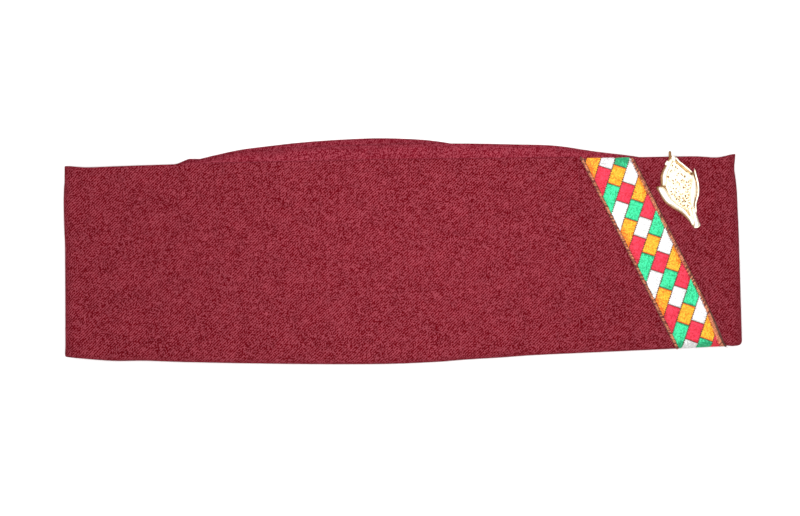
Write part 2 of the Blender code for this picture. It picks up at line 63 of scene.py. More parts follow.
# %% [markdown]
# ## Objects and nodes
#
# The finishes of this cap are worked out by nodes, and nodes are mostly sums. `Value` stands for the
# output of a node and lets such a sum be written as one: `streaks * 0.7 + clouds * 0.3` makes three Math
# nodes and links them.

# %% A new object, and numbers worked out by nodes
WHITE = (1.0, 1.0, 1.0, 1.0)


def add_object(name, data, place=(0.0, 0.0, 0.0)):
    """A new object of the scene."""
    made = bpy.data.objects.new(name, data)
    made.location = place
    bpy.context.scene.collection.objects.link(made)
    return made


class Value:
    """The output of a node. Sums of such values make Math nodes."""

    def __init__(self, socket):
        self.socket = socket
        self.tree = socket.id_data

    def work(self, operation, *others):
        """A Math node on this value and others."""
        return new_node(self.tree, "ShaderNodeMath", dict(enumerate((self, *others))), operation=operation)

    def __add__(self, other):
        return self.work("ADD", other)

    def __sub__(self, other):
        return self.work("SUBTRACT", other)

    def __mul__(self, other):
        return self.work("MULTIPLY", other)

    def __truediv__(self, other):
        return self.work("DIVIDE", other)


def feed(node, inputs):
    """Fill inputs of a node: a Value is linked, and anything else is set."""
    for label, value in inputs.items():
        if isinstance(value, Value):
            value.tree.links.new(value.socket, node.inputs[label])
        else:
            node.inputs[label].default_value = value


def new_node(tree, kind, inputs, output=0, operation=None):
    """An output of a new node."""
    node = tree.nodes.new(kind)
    if operation:
        node.operation = operation
    feed(node, inputs)
    return Value(node.outputs[output])


def new_material(name, inputs):
    """A material, and its shader with some inputs filled."""
    material = bpy.data.materials.new(name)
    material.use_nodes = True
    shader = material.node_tree.nodes["Principled BSDF"]
    feed(shader, inputs)
    return material, shader


# %% [markdown]
# ## Camera, floor and light
#
# The photograph looks straight down on the cap from some way off. A long lens does the same: the two ends
# of the cap, which are almost 30 cm apart, are then seen without leaning outwards.
#
# The floor comes out pure white and the cloth has no shadow beside it. A wide lamp in line with the
# camera gives that, because it hides each shadow under the thing that casts it, and a pale sky fills in
# the rest. The cloth is also a little brighter in the middle of the picture than at its ends. A second
# lamp with a soft cone does that, as the hot centre of a studio lamp would.

# %% Camera
VIEW_CENTRE = Vector((-0.95 * MM, -3.27 * MM, 5.0 * MM))
VIEW_WIDTH = 348.15 * MM
VIEW_TURN = radians(-0.98)
LENS = 300.0
SENSOR = 36.0

camera_data = bpy.data.cameras.new("camera")
camera_data.lens = LENS
camera_data.sensor_width = SENSOR
camera_rise = Vector((0.0, 0.0, VIEW_WIDTH * LENS / SENSOR))
camera = add_object("camera", camera_data, VIEW_CENTRE + camera_rise)
camera.rotation_euler = (0.0, 0.0, VIEW_TURN)
bpy.context.scene.camera = camera
print("camera height", round(camera.location.z, 3), "m")

# %% Floor
FLOOR_SIZE = 12.0
FLOOR_DROP = 0.1 * MM
FLOOR_COLOUR = (0.95, 0.95, 0.95, 1.0)

floor_builder = bmesh.new()
bmesh.ops.create_grid(floor_builder, x_segments=1, y_segments=1, size=FLOOR_SIZE / 2)
bmesh.ops.translate(floor_builder, verts=floor_builder.verts, vec=(0.0, 0.0, -FLOOR_DROP))
floor_mesh = bpy.data.meshes.new("floor")
floor_builder.to_mesh(floor_mesh)
floor_builder.free()
floor = add_object("floor", floor_mesh)
floor_mesh.materials.append(new_material("pale floor", {"Base Color": FLOOR_COLOUR, "Roughness": 0.9})[0])

# %% Light
LAMP_HEIGHT = 1.9
LAMP_SIZE = 0.95
LAMP_POWER = 38.0
CENTRE_LAMP_HEIGHT = 1.6
CENTRE_LAMP_POWER = 38.0
CENTRE_LAMP_SIZE = 0.06
CENTRE_LAMP_REACH = 0.14
CENTRE_LAMP_PLACE = (0.010, 0.028)
SKY_STRENGTH = 0.6


def hang_lamp(light, power, place, height):
    """A lamp that shines straight down on a place and isn't seen by the camera."""
    light.energy = power
    add_object(light.name, light, (*place, height)).visible_camera = False


wide_light = bpy.data.lights.new("wide lamp", "AREA")
wide_light.shape = "DISK"
wide_light.size = LAMP_SIZE
hang_lamp(wide_light, LAMP_POWER, (0.0, 0.0), LAMP_HEIGHT)

centre_light = bpy.data.lights.new("centre lamp", "SPOT")
centre_light.shadow_soft_size = CENTRE_LAMP_SIZE
centre_light.spot_size = 2.0 * atan(CENTRE_LAMP_REACH / CENTRE_LAMP_HEIGHT)
centre_light.spot_blend = 1.0
hang_lamp(centre_light, CENTRE_LAMP_POWER, CENTRE_LAMP_PLACE, CENTRE_LAMP_HEIGHT)

# The cap is lit by a pale sky, and the camera sees a white one.
world = bpy.data.worlds.new("sky")
world.use_nodes = True
bpy.context.scene.world = world
sky = world.node_tree
feed(sky.nodes["Background"], {"Color": WHITE, "Strength": SKY_STRENGTH})
pale_sky = Value(sky.nodes["Background"].outputs[0])
backdrop = new_node(sky, "ShaderNodeBackground", {"Color": WHITE})
camera_ray = new_node(sky, "ShaderNodeLightPath", {}, "Is Camera Ray")
seen_sky = new_node(sky, "ShaderNodeMixShader", {0: camera_ray, 1: pale_sky, 2: backdrop})
feed(sky.nodes["World Output"], {"Surface": seen_sky})
bpy.context.scene.view_settings.view_transform = "Standard"

# %% [markdown]
# ## The surface of the folded cloth
#
# Every layer of the cap follows one surface: the outside of the cuff. It runs along the upper side, round
# the fold at an end, back along the floor side and round the other fold. A layer inside it has the same
# shape with an inset, and the ribbon on top of it has a negative inset.
#
# So one function, `cap_point`, places all the cloth. Its lengths are those of the solids, so that each
# piece lies where its solid does. Short tables then bend the edges, the ridges and the two end folds by
# up to a millimetre and a half, because sewn cloth is never quite straight, and a faint ripple runs over
# the whole cap.

# %% Sizes of the folded cap
HALF_LENGTH_RIM = 147.3 * MM
HALF_LENGTH_TOP = 146.2 * MM
CUFF_HEIGHT = 83.0 * MM
RIM_SAG = 5.5 * MM
CROWN_RISE = 9.9 * MM
BELLY_THICKNESS = 17.5 * MM
BULGE_POWER = 1.5
CROWN_LEAN = 2.6 * MM
TOP_HALF_LENGTH = 111.0 * MM
LEAN_POWER = 1.5
GAP = 0.3 * MM
CUFF_WALL = 2.0 * MM
CROWN_WALL = 1.2 * MM
TOP_WALL = 1.0 * MM
FOLD_EASE = 1.0 * MM
RIM_ROUND = CUFF_WALL + 0.2 * MM
CROWN_INSET = CUFF_WALL + GAP
LIP_INSET = CROWN_INSET + CROWN_WALL
TOP_INSET = LIP_INSET + GAP
FOLD_RADIUS = LIP_INSET + FOLD_EASE
RIM_Y = RIM_SAG - (CUFF_HEIGHT + RIM_SAG + CROWN_RISE) / 2
TOP_Y = RIM_Y + CUFF_HEIGHT
RIBBON_WIDTH = 20.6 * MM
RIBBON_TOP_X = HALF_LENGTH_TOP - 56.4 * MM
RIBBON_RIM_X = HALF_LENGTH_RIM - 17.8 * MM
RIBBON_HALF_SPAN = RIBBON_WIDTH / 2 / cos(atan2(RIBBON_RIM_X - RIBBON_TOP_X, CUFF_HEIGHT))
RIBBON_PRESS = 1.2 * MM  # how far the ribbon pulls in the cuff's edges
PRESS_SOFTNESS = 0.5 * MM
PRESSED_AT_RIM = RIBBON_HALF_SPAN - 1.1 * MM
NOTCH_DEPTH = 0.35 * MM
NOTCH_PLACE = 0.955
NOTCH_REACH = 0.006
END_RUN = 0.999  # runs beyond this belong to an end fold

# Place along the cap as a share of its half-length, then sag of the rim as a share of RIM_SAG.
RIM_TABLE = (
    (-1.00, 0.04), (-0.86, 0.39), (-0.77, 0.42), (-0.65, 0.58), (-0.31, 0.88), (-0.05, 0.99), (0.10, 0.89),
    (0.18, 0.76), (0.29, 0.63), (0.37, 0.51), (0.65, 0.30), (1.00, 0.04),
)
# Place along, then how far the cuff's top edge lies off a straight line, in millimetres.
EDGE_TABLE = (
    (-1.000, -0.10), (-0.985, -0.15), (-0.965, -0.45), (-0.935, -0.80), (-0.860, -0.60), (-0.700, -0.20),
    (-0.500, 0.00), (-0.070, 0.25), (0.300, 0.00), (0.540, -0.26), (0.720, -0.50), (0.870, -0.50),
    (0.905, -0.80), (0.935, -1.20), (0.960, -0.80), (0.975, -0.30), (0.985, 0.00), (1.000, 0.25),
)
# Share of the cuff's height, then how far an end fold stands out, in millimetres.
BACK_FOLD_TABLE = (
    (0.000, 1.30), (0.012, 0.50), (0.030, 0.10), (0.060, 0.00), (0.580, 0.00), (0.660, 0.26), (0.740, 0.44),
    (0.820, 0.52), (0.875, 0.35), (0.915, 0.26), (0.942, 0.74), (0.964, 1.14), (1.000, 1.50),
)
FRONT_FOLD_TABLE = (
    (0.000, 0.00), (0.600, 0.00), (0.683, -0.10), (0.761, -0.20), (0.814, -0.28), (0.846, -0.47),
    (0.877, -0.72), (0.908, -0.93), (0.930, -0.72), (0.950, -0.10), (0.968, 0.45), (1.000, 1.10),
)
# Place along, then rise of a ridge as a share of CROWN_RISE.
RIDGE_UPPER = (
    (-1.00, -1.00), (-0.80, -0.36), (-0.69, -0.08), (-0.62, 0.07), (-0.56, 0.22), (-0.48, 0.42),
    (-0.37, 0.52), (-0.31, 0.60), (-0.20, 0.64), (0.00, 0.69), (0.10, 0.70), (0.18, 0.68), (0.24, 0.655),
    (0.35, 0.595), (0.44, 0.54), (0.49, 0.455), (0.53, 0.355), (0.58, 0.23), (0.62, 0.15), (0.66, 0.07),
    (0.70, -0.02), (0.74, -0.14), (0.82, -0.36), (1.00, -1.00),
)
RIDGE_FLOOR = (
    (-1.00, -1.00), (-0.80, -0.40), (-0.70, -0.08), (-0.665, 0.02), (-0.645, 0.14), (-0.624, 0.24),
    (-0.608, 0.20), (-0.595, 0.215), (-0.58, 0.265), (-0.56, 0.335), (-0.48, 0.57), (-0.42, 0.675),
    (-0.30, 0.845), (-0.18, 0.945), (-0.06, 0.98), (0.06, 0.89), (0.12, 0.78), (0.15, 0.70), (0.24, 0.50),
    (0.38, 0.24), (0.54, -0.02), (0.75, -0.40), (1.00, -1.00),
)
# Share of the height, then thickness in the middle of the cap as a share of BELLY_THICKNESS.
THICKNESS_TABLE = (
    (0.00, 0.90), (0.14, 0.96), (0.42, 1.00), (0.76, 0.95), (1.00, 0.86), (1.20, 0.83),
)


# %% Curves read from the tables
def read_table(rows, place):
    """The value at a place, on a smooth curve through the (place, value) rows of a table."""
    last = len(rows) - 1
    if place <= rows[0][0]:
        return rows[0][1]
    if place >= rows[last][0]:
        return rows[last][1]
    index = 0
    while place > rows[index + 1][0]:
        index += 1
    before = rows[max(index - 1, 0)]
    start = rows[index]
    end = rows[index + 1]
    after = rows[min(index + 2, last)]
    width = end[0] - start[0]
    slope_start = (end[1] - before[1]) / (end[0] - before[0]) * width
    slope_end = (after[1] - start[1]) / (after[0] - start[0]) * width
    t = (place - start[0]) / width
    return (
        start[1] * (2 * t ** 3 - 3 * t ** 2 + 1)
        + slope_start * (t ** 3 - 2 * t ** 2 + t)
        + end[1] * (3 * t ** 2 - 2 * t ** 3)
        + slope_end * (t ** 3 - t ** 2)
    )


def smooth_step(value):
    """0 below 0, 1 above 1, and smooth between."""
    value = min(max(value, 0.0), 1.0)
    return value * value * (3.0 - 2.0 * value)


def hump(value, middle, reach):
    """A smooth bump of height 1 round a middle."""
    return exp(-((value - middle) / reach) ** 2)


def under_ribbon(x, middle, half_span):
    """1 under the ribbon and 0 beside it, at an edge of the cuff."""
    return smooth_step((half_span + PRESS_SOFTNESS - abs(x - middle)) / PRESS_SOFTNESS)


def rim_y(along):
    """Where the rim runs, with the press of the ribbon and a small notch near the front."""
    notch = NOTCH_DEPTH * hump(along, NOTCH_PLACE, NOTCH_REACH)
    pressed = RIBBON_PRESS * under_ribbon(along * HALF_LENGTH_RIM, RIBBON_RIM_X, PRESSED_AT_RIM)
    return RIM_Y - RIM_SAG * read_table(RIM_TABLE, along) + notch + pressed


def edge_y(along):
    """Where the cuff's top edge runs, with the press of the ribbon."""
    pressed = RIBBON_PRESS * under_ribbon(along * HALF_LENGTH_RIM, RIBBON_TOP_X, RIBBON_HALF_SPAN)
    return TOP_Y + MM * read_table(EDGE_TABLE, along) - pressed


def ridge_y(along, table):
    """Where the ridge of a side panel runs."""
    return TOP_Y + CROWN_RISE * read_table(table, along)


# %% The surface itself
RIPPLE = 0.22 * MM
BROOCH_X = HALF_LENGTH_TOP - 22.7 * MM
BROOCH_Y = TOP_Y - 14.9 * MM


def height_share(along, y):
    """Share of the way from the rim up to the cuff's top edge."""
    low = rim_y(along)
    return (y - low) / (edge_y(along) - low)


def half_length(share):
    """Middle to end fold at a share of the height."""
    share = min(max(share, 0.0), 1.0)
    return HALF_LENGTH_RIM + (HALF_LENGTH_TOP - HALF_LENGTH_RIM) * share


def place_along(run, turn):
    """Share of the half-length that a station lies at."""
    reach = HALF_LENGTH_RIM - FOLD_RADIUS
    side = copysign(FOLD_RADIUS, run)
    return (run * reach + side * cos(turn)) / HALF_LENGTH_RIM


def ripple(x, y):
    """The faint unevenness of the cloth, which fades out under the brooch."""
    slow = sin(x / (23 * MM) + 1.4 * sin(y / (31 * MM)))
    cross = sin(y / (17 * MM) - x / (41 * MM) + 0.8)
    small = sin(x / (9.1 * MM) + y / (6.7 * MM)) * sin(y / (11 * MM) - x / (13 * MM))
    under_brooch = hump(x, BROOCH_X, 17 * MM) * hump(y, BROOCH_Y, 22 * MM)
    return RIPPLE * (0.55 * slow + 0.3 * cross + 0.25 * small) * (1.0 - under_brooch)


def cap_point(run, turn, y, inset):
    """A point of the folded cloth, inset from the outside of the cuff.

    run is the share of the straight run between the two end folds. turn is 90 degrees on the upper side and
    -90 on the floor side, and goes from one to the other round an end fold, where run is 1 or -1.
    """
    along = place_along(run, turn)
    share = height_share(along, y)
    reach = half_length(share) - FOLD_RADIUS
    radius = FOLD_RADIUS - inset
    x = run * reach + copysign(radius, run) * cos(turn)
    above_edge = max(0.0, y - TOP_Y) / CROWN_RISE
    lean = CROWN_LEAN * above_edge ** LEAN_POWER
    z = FOLD_RADIUS + (radius - lean) * sin(turn)
    if turn > 0:
        thickness = BELLY_THICKNESS * read_table(THICKNESS_TABLE, share)
        bulge = max(0.0, 1 - run ** 2) ** BULGE_POWER
        z += (thickness - 2 * FOLD_RADIUS) * bulge
        z += ripple(x, y) * sin(turn)
    if abs(run) > END_RUN:
        table = FRONT_FOLD_TABLE if run > 0 else BACK_FOLD_TABLE
        x += copysign(MM, run) * read_table(table, share) * cos(turn)
    return Vector((x, y, z))


def upper_face(x, y, inset):
    """A point over the upper side of the cap."""
    along = x / HALF_LENGTH_RIM
    reach = half_length(height_share(along, y)) - FOLD_RADIUS
    return cap_point(x / reach, pi / 2, y, inset)


middle_top = upper_face(0.0, 0.0, 0.0)
print("highest cloth in the middle", round(middle_top.z / MM, 2), "mm")

# %% [markdown]
# ## From a flat grid to a piece of cloth
#
# Each layer starts as a flat grid. Every vertex of the grid is then moved to its place on the surface.
# While it is still flat, the grid knows which column and row each corner belongs to, and that gives the
# piece a UV map in metres that runs along the cloth like its threads. The weave of the material reads
# that map, so it turns round the folds with the cloth.


# %% Bend a grid, and give it a UV map in metres
def running_lengths(points, anchor):
    """Distance along a row of points, counted from the anchor's place in it."""
    lengths = [0.0]
    for first, second in zip(points, points[1:]):
        lengths.append(lengths[-1] + (second - first).length)
    return [length - lengths[anchor] for length in lengths]


def bent_grid(columns, rows, place, anchor_column, anchor_row):
    """A grid bent to place(column, row). Its UV map equals x and y at the anchor."""
    builder = bmesh.new()
    layer = builder.loops.layers.uv.new("cloth")
    bmesh.ops.create_grid(builder, x_segments=columns, y_segments=rows, size=0.5, calc_uvs=True)
    points = [[place(column, row) for row in range(rows + 1)] for column in range(columns + 1)]
    across = running_lengths([column[anchor_row] for column in points], anchor_column)
    start_x = points[anchor_column][anchor_row].x
    upward = [running_lengths(column, anchor_row) for column in points]
    for face in builder.faces:
        for loop in face.loops:
            column = round(loop[layer].uv.x * columns)
            row = round(loop[layer].uv.y * rows)
            height = points[column][anchor_row].y + upward[column][row]
            loop[layer].uv = (start_x - across[column], height)
    for vert in builder.verts:
        column = round((vert.co.x + 0.5) * columns)
        row = round((vert.co.y + 0.5) * rows)
        vert.co = points[column][row]
    return builder


# %% Make a finished piece from a builder
def add_piece(builder, name, materials, replaced, sharp=180, align=True):
    """A piece that rides on the cap's one body. With align, its faces are first turned the same way."""
    if align:
        bmesh.ops.recalc_face_normals(builder, faces=builder.faces)
    mesh = bpy.data.meshes.new(name)
    builder.to_mesh(mesh)
    builder.free()
    for material in materials:
        mesh.materials.append(material)
    mesh.shade_smooth()
    mesh.set_sharp_from_angle(angle=radians(sharp))
    piece = add_object(name, mesh)
    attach(piece, "root")
    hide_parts(replaced)
    print("piece", name, "has", sum(len(polygon.vertices) - 2 for polygon in mesh.polygons), "triangles")
    return piece


def thicken(piece, wall, offset, even=False):
    """Give a sheet its thickness."""
    modifier = piece.modifiers.new("thickness", "SOLIDIFY")
    modifier.thickness = wall
    modifier.offset = offset
    modifier.use_even_offset = even


# %% [markdown]
# ## Wool twill
#
# The cloth is a fine wool twill: each warp thread goes over two weft threads and under two, one step
# further along with every thread, and the steps line up in slanting ridges less than a millimetre apart.
# But the wool is a melange, spun from paler and darker fibres, and that is what one sees first: a fine
# speckle, as if salt and pepper were mixed into the red. The ridges come through it in some places and
# fade in others.
#
# A picture of cloth could be tiled over the cap, but nodes can make the weave itself, at its real size.
# In the node group, `i` is the number of the warp thread and `j` that of the weft thread. A sine makes a
# thread round, and a cosine of a quarter turn for each step takes it over and under. White noise gives
# each crossing its own depth of dye, and flecks about as large as a pixel of the picture carry the
# melange, because a single crossing is too small to show there. The outputs are a colour and a height,
# and each cloth uses the group with its own values.


# %% Nodes of the materials
def blend_colours(factor, first, second):
    """A mix of two colours."""
    node = factor.tree.nodes.new("ShaderNodeMix")
    node.data_type = "RGBA"
    feed(node, {0: factor, 6: first, 7: second})
    return Value(node.outputs[2])


def new_noise(place, scale, detail=2.0, roughness=0.5):
    """Soft noise, from about 0 to 1."""
    inputs = {"Vector": place, "Scale": scale, "Detail": detail, "Roughness": roughness}
    return new_node(place.tree, "ShaderNodeTexNoise", inputs, "Fac")


def new_flecks(place, cell):
    """White noise from 0 to 1, with one value for each cell of a size."""
    inputs = {0: place, 1: (cell, cell, cell)}
    snapped = new_node(place.tree, "ShaderNodeVectorMath", inputs, operation="SNAP")
    return new_node(place.tree, "ShaderNodeTexWhiteNoise", {"Vector": snapped}, "Value")


def spread(value, low, high, to_low=0.0, to_high=1.0):
    """A value stretched from low..high to another range, and kept inside it."""
    inputs = {"Value": value, "From Min": low, "From Max": high, "To Min": to_low, "To Max": to_high}
    return new_node(value.tree, "ShaderNodeMapRange", inputs, "Result")


def weigh(value, weight):
    """A value's departure from one half, times its weight."""
    return (value - 0.5) * weight


def new_group(name, numbers):
    """A node group from a place, two colours and some numbers to a colour and a height."""
    group = bpy.data.node_groups.new(name, "ShaderNodeTree")
    group.interface.new_socket(name="Place", in_out="INPUT", socket_type="NodeSocketVector")
    for label in ("Pale Colour", "Deep Colour"):
        group.interface.new_socket(name=label, in_out="INPUT", socket_type="NodeSocketColor")
    for label, number in numbers.items():
        socket = group.interface.new_socket(name=label, in_out="INPUT", socket_type="NodeSocketFloat")
        socket.default_value = number
    group.interface.new_socket(name="Colour", in_out="OUTPUT", socket_type="NodeSocketColor")
    group.interface.new_socket(name="Height", in_out="OUTPUT", socket_type="NodeSocketFloat")
    given = {socket.name: Value(socket) for socket in group.nodes.new("NodeGroupInput").outputs}
    return group, given, group.nodes.new("NodeGroupOutput")


def add_bump(shader, height, strength, depth):
    """Let a height show as bumps."""
    inputs = {"Height": height, "Strength": strength, "Distance": depth}
    feed(shader, {"Normal": new_node(height.tree, "ShaderNodeBump", inputs)})


def dress(shader, group, pale, deep, inputs, strength, depth):
    """Give a shader the colour of a node group, and the group's height as bumps."""
    node = shader.id_data.nodes.new("ShaderNodeGroup")
    node.node_tree = group
    feed(node, {"Pale Colour": (*pale, 1.0), "Deep Colour": (*deep, 1.0), **inputs})
    feed(shader, {"Base Color": Value(node.outputs["Colour"])})
    add_bump(shader, Value(node.outputs["Height"]), strength, depth)


# %% The twill group
FLECK = 0.42 * MM
FLECK_WEIGHT = 3.0
THREADS = {"Warp Pitch": 0.352 * MM, "Weft Pitch": 0.312 * MM, "Ridges": 0.9, "Speckle": 1.0, "Mottle": 1.0}


def make_twill_group():
    """Colour and height of a two-up, two-down twill of melange yarn."""
    group, given, end = new_group("wool twill", THREADS)
    place = given["Place"]
    parts = group.nodes.new("ShaderNodeSeparateXYZ")
    feed(parts, {0: place})
    drift = weigh(new_noise(place, 260.0, 1.0), 0.9)
    x = Value(parts.outputs["X"]) / given["Warp Pitch"] + drift
    y = Value(parts.outputs["Y"]) / given["Weft Pitch"] + drift
    i = x.work("FLOOR")
    j = y.work("FLOOR")
    quarter = pi / 2

    def thread_height(count, step):
        """A round thread that goes over and under with each step."""
        rounded = (count.work("FRACT") * pi).work("SINE")
        return rounded * ((step * quarter).work("COSINE") * 0.5 + 0.5)

    warp = thread_height(x, i - y)
    weft = thread_height(y, x - j - 3.0)
    height = warp.work("MAXIMUM", weft)
    warp_shows = spread(warp - weft, -0.12, 0.12)

    # Each crossing of two threads has its own depth of dye.
    dye = group.nodes.new("ShaderNodeTexWhiteNoise")
    dye.noise_dimensions = "2D"
    feed(dye, {"Vector": new_node(group, "ShaderNodeCombineXYZ", {"X": i, "Y": j})})
    fibres = new_noise(place, 3100.0, 2.0, 0.7)
    tufts = new_noise(place, 430.0, 3.0, 0.6)
    patches = new_noise(place, 95.0, 4.0, 0.65)

    # Where the floats of neighbouring threads line up, they make slanting ridges.
    strength = spread(patches, 0.38, 0.62, 0.75, 1.3) * given["Ridges"]
    ridge = ((x - y) * quarter).work("COSINE") * strength
    tone = weigh(warp_shows, spread(patches, 0.38, 0.62, 0.03, 0.36)) + 0.35 + ridge
    tone = tone + weigh(Value(dye.outputs["Value"]), given["Speckle"])
    tone = tone + weigh(new_flecks(place, FLECK), FLECK_WEIGHT)
    tone = tone + weigh(fibres, 0.4) + weigh(tufts, given["Mottle"])
    colour = blend_colours(tone.work("MAXIMUM", 0.0), given["Deep Colour"], given["Pale Colour"])
    # Painted shade: each thread is darker where it dips between crossings and a little lighter on its top.
    # The patches and tufts vary the brightness of the melange.
    shade = spread(height, 0.1, 0.7, 0.86, 1.04) * (patches * 0.5 + 0.75) * (tufts * 0.5 + 0.75)
    dimmed = new_node(group, "ShaderNodeVectorMath", {0: colour, "Scale": shade}, operation="SCALE")
    feed(end, {"Colour": dimmed, "Height": fibres * 0.5 + height})
    return group


TWILL = make_twill_group()


# %% Two cloths from one group
WOOL = {
    "Roughness": 0.95,
    "Specular IOR Level": 0.01,
    "Sheen Weight": 0.04,
    "Sheen Roughness": 0.6,
    "Sheen Tint": (1.0, 0.10, 0.16, 1.0),
}
WOOL_BUMP = 0.10 * MM


def make_twill(name, turn, pale, deep, ridges):
    """A twill material whose ridges are turned by some degrees on the cloth."""
    material, shader = new_material(name, WOOL)
    tree = material.node_tree
    cloth_map = tree.nodes.new("ShaderNodeUVMap")
    cloth_map.uv_map = "cloth"
    inputs = {"Vector": Value(cloth_map.outputs["UV"]), "Rotation": (0.0, 0.0, radians(turn))}
    inputs = {"Place": new_node(tree, "ShaderNodeMapping", inputs), "Ridges": ridges, "Mottle": 0.55}
    dress(shader, TWILL, pale, deep, inputs, 0.45, WOOL_BUMP)
    return material


cuff_twill = make_twill("maroon twill", -2.0, (0.2270, 0.0356, 0.0502), (0.0943, 0.0014, 0.0046), 0.9)
# The crown's twill is a paler copy of the cuff's: painted light that brightens the crown panels.
crown_twill_painted_paler = make_twill("crown twill", -16.0, (0.2456, 0.0371, 0.0550), (0.1212, 0.0041, 0.0102), 0.4)

# %% [markdown]
# ## The cuff
#
# The cuff is a band of doubled cloth. Its top edge is a thin pressed fold that hardly shows against the
# crown, and its rim is a soft roll that ends in a lip round the face opening. A grid that closes on
# itself both ways, like a flattened tyre, makes all of it at once: the columns go round the cap, and the
# rows go round the thickness of the cloth.

# %% Stations round the cap, and the cuff's cross-section
RUN_STEPS = 130
FOLD_STEPS = 16
ROUND_STEPS = 6
FACE_STEPS = 36
BACK_STEPS = 8
EDGE_TAPER = 1.45 * MM  # how much thinner the cuff is at its top edge
TAPER_REACH = 9.0 * MM
EDGE_ROUND = (CUFF_WALL - EDGE_TAPER) / 2
LIP_ROUND = 0.5 * MM
WELD = 0.005 * MM  # corners closer than this are one


def ring_stations():
    """Stations all round the cap, from the middle of the front fold over the upper side to the back."""
    half = [(1.0, radians(-90 + 180 * i / FOLD_STEPS)) for i in range(FOLD_STEPS)]
    runs = [1.0 - 2.0 * i / RUN_STEPS for i in range(RUN_STEPS)]
    for middle, half_span in ((RIBBON_TOP_X, RIBBON_HALF_SPAN), (RIBBON_RIM_X, PRESSED_AT_RIM)):
        for side in (-1.0, 1.0):
            steps = [half_span + PRESS_SOFTNESS * share for share in (0.0, 0.3, 0.7, 1.0)]
            runs += [(middle + side * step) / (HALF_LENGTH_RIM - FOLD_RADIUS) for step in steps]
    half += [(run, pi / 2) for run in sorted(runs, reverse=True)]
    return half + [(-run, -turn) for run, turn in half]


def arc(y, inset, radius, start, end, steps, skip=0):
    """A round part of a cross-section as (y, inset), between two angles: 0 faces outwards, and 90 up."""
    turns = [radians(start + (end - start) * step / steps) for step in range(skip, steps + 1 - skip)]
    return [(y + radius * sin(turn), inset - radius * cos(turn)) for turn in turns]


def face_inset(along, y):
    """How far the cuff's face is pressed in: nothing, growing towards its thin top edge."""
    return EDGE_TAPER * smooth_step((y - edge_y(along) + TAPER_REACH) / TAPER_REACH)


def cuff_section(along):
    """The cuff's closed cross-section as (y, inset): under the lip, up the face, over the edge and back."""
    low = rim_y(along)
    start = low + RIM_ROUND
    end = edge_y(along) - EDGE_ROUND
    lip = LIP_INSET - LIP_ROUND
    face = [start + (end - start) * step / FACE_STEPS for step in range(1, FACE_STEPS + 1)]
    section = arc(low + LIP_ROUND, lip, LIP_ROUND, 180, 270, 2)
    section += arc(start, RIM_ROUND, RIM_ROUND, -90, 0, ROUND_STEPS)
    section += [(y, face_inset(along, y)) for y in face]
    section += arc(end, CUFF_WALL - EDGE_ROUND, EDGE_ROUND, 0, 180, ROUND_STEPS, 1)
    section += [(end + (start - end) * step / BACK_STEPS, CUFF_WALL) for step in range(BACK_STEPS + 1)]
    section.append((low + CUFF_WALL, RIM_ROUND))
    return section + arc(low + CUFF_WALL - LIP_ROUND, lip, LIP_ROUND, 90, 180, 2)


# %% Make the cuff
def bent_tube(stations, sections, columns, anchor_column, anchor_row):
    """A grid bent so that it has one closed cross-section at each station."""
    rows = len(sections[0])

    def place(column, row):
        station = column % len(stations)
        return cap_point(*stations[station], *sections[station][row % rows])

    builder = bent_grid(columns, rows, place, anchor_column, anchor_row)
    bmesh.ops.remove_doubles(builder, verts=builder.verts, dist=WELD)
    return builder


cuff_stations = ring_stations()
cuff_sections = [cuff_section(place_along(run, turn)) for run, turn in cuff_stations]
cuff = bent_tube(cuff_stations, cuff_sections, len(cuff_stations), FOLD_STEPS, 3 + ROUND_STEPS)
add_piece(cuff, "cuff_cloth", [cuff_twill], "cuff")

# %% [markdown]
# ## The crown
#
# The crown's two side panels are single layers of the same twill, cut on another grain, so the slant of
# the weave is steeper there. Each is turned over at its ridge, where the seam to the top panel is hidden.
# The upper one shows as a strip above the cuff, and the one on the floor side peeks out behind it as a
# thin second line. Beyond the tips of the top panel the two ridges lean in and meet, where the panels are
# sewn to each other.

# %% Side panels
FOLD_GAP = asin(GAP / 2 / FOLD_EASE)
PANEL_FOOT = CUFF_WALL + GAP
PANEL_ROUND = CROWN_WALL / 2
PANEL_RUN_STEPS = 120
HIDDEN_STEPS = 12
SHOWN_STEPS = 20
INNER_STEPS = 20
CROWN_BULGE = 0.95 * MM  # how far a panel swells over the cuff's edge
BULGE_REACH = 0.9 * MM
SEAM_HEIGHT = 6.0 * MM  # how far below its ridge a panel starts to lean in
SEAM_BEND = 3.5 * MM
SEAM_START = 6.0 * MM  # length over which the panels come together at the top panel's tips
SEAM_END = 3.0 * MM  # length beyond the tips where they meet
SEAM_SLIVER = 0.05 * MM
TACK_DEPTH = 16.5 * MM  # how far below the ridges a short tack closes the gap under each tip
TACK_REACH = 3.0 * MM


def half_room(run, y):
    """Half of the room between the inner faces of the two side panels."""
    return (cap_point(run, pi / 2, y, LIP_INSET).z - cap_point(run, -pi / 2, y, LIP_INSET).z) / 2


def seam_closing(run, turn, y, ridge):
    """How far a panel leans in, to meet the other one beyond the tips of the top panel."""
    rise = smooth_step((y - ridge + SEAM_HEIGHT) / SEAM_BEND)
    if abs(run) > END_RUN:
        return (FOLD_EASE - SEAM_SLIVER) * rise
    along = place_along(run, turn)
    beyond = abs(along) * HALF_LENGTH_RIM - TOP_HALF_LENGTH
    if beyond < -SEAM_START:
        return 0.0
    room = half_room(run, y)
    left = TOP_WALL + SEAM_SLIVER
    pinched = (room - left) * smooth_step(beyond / SEAM_START + 1.0)
    met = left * smooth_step((beyond - SEAM_END / 3) / (SEAM_END - SEAM_END / 3))
    depth = min(ridge_y(along, RIDGE_UPPER), ridge_y(along, RIDGE_FLOOR)) - TACK_DEPTH
    tack = room * smooth_step(beyond / SEAM_START * 2.5 + 1.7) * smooth_step(3.0 - beyond / SEAM_END)
    tack *= smooth_step(1.5 - abs(y - depth) / TACK_REACH)
    return max((pinched + met) * rise, tack)


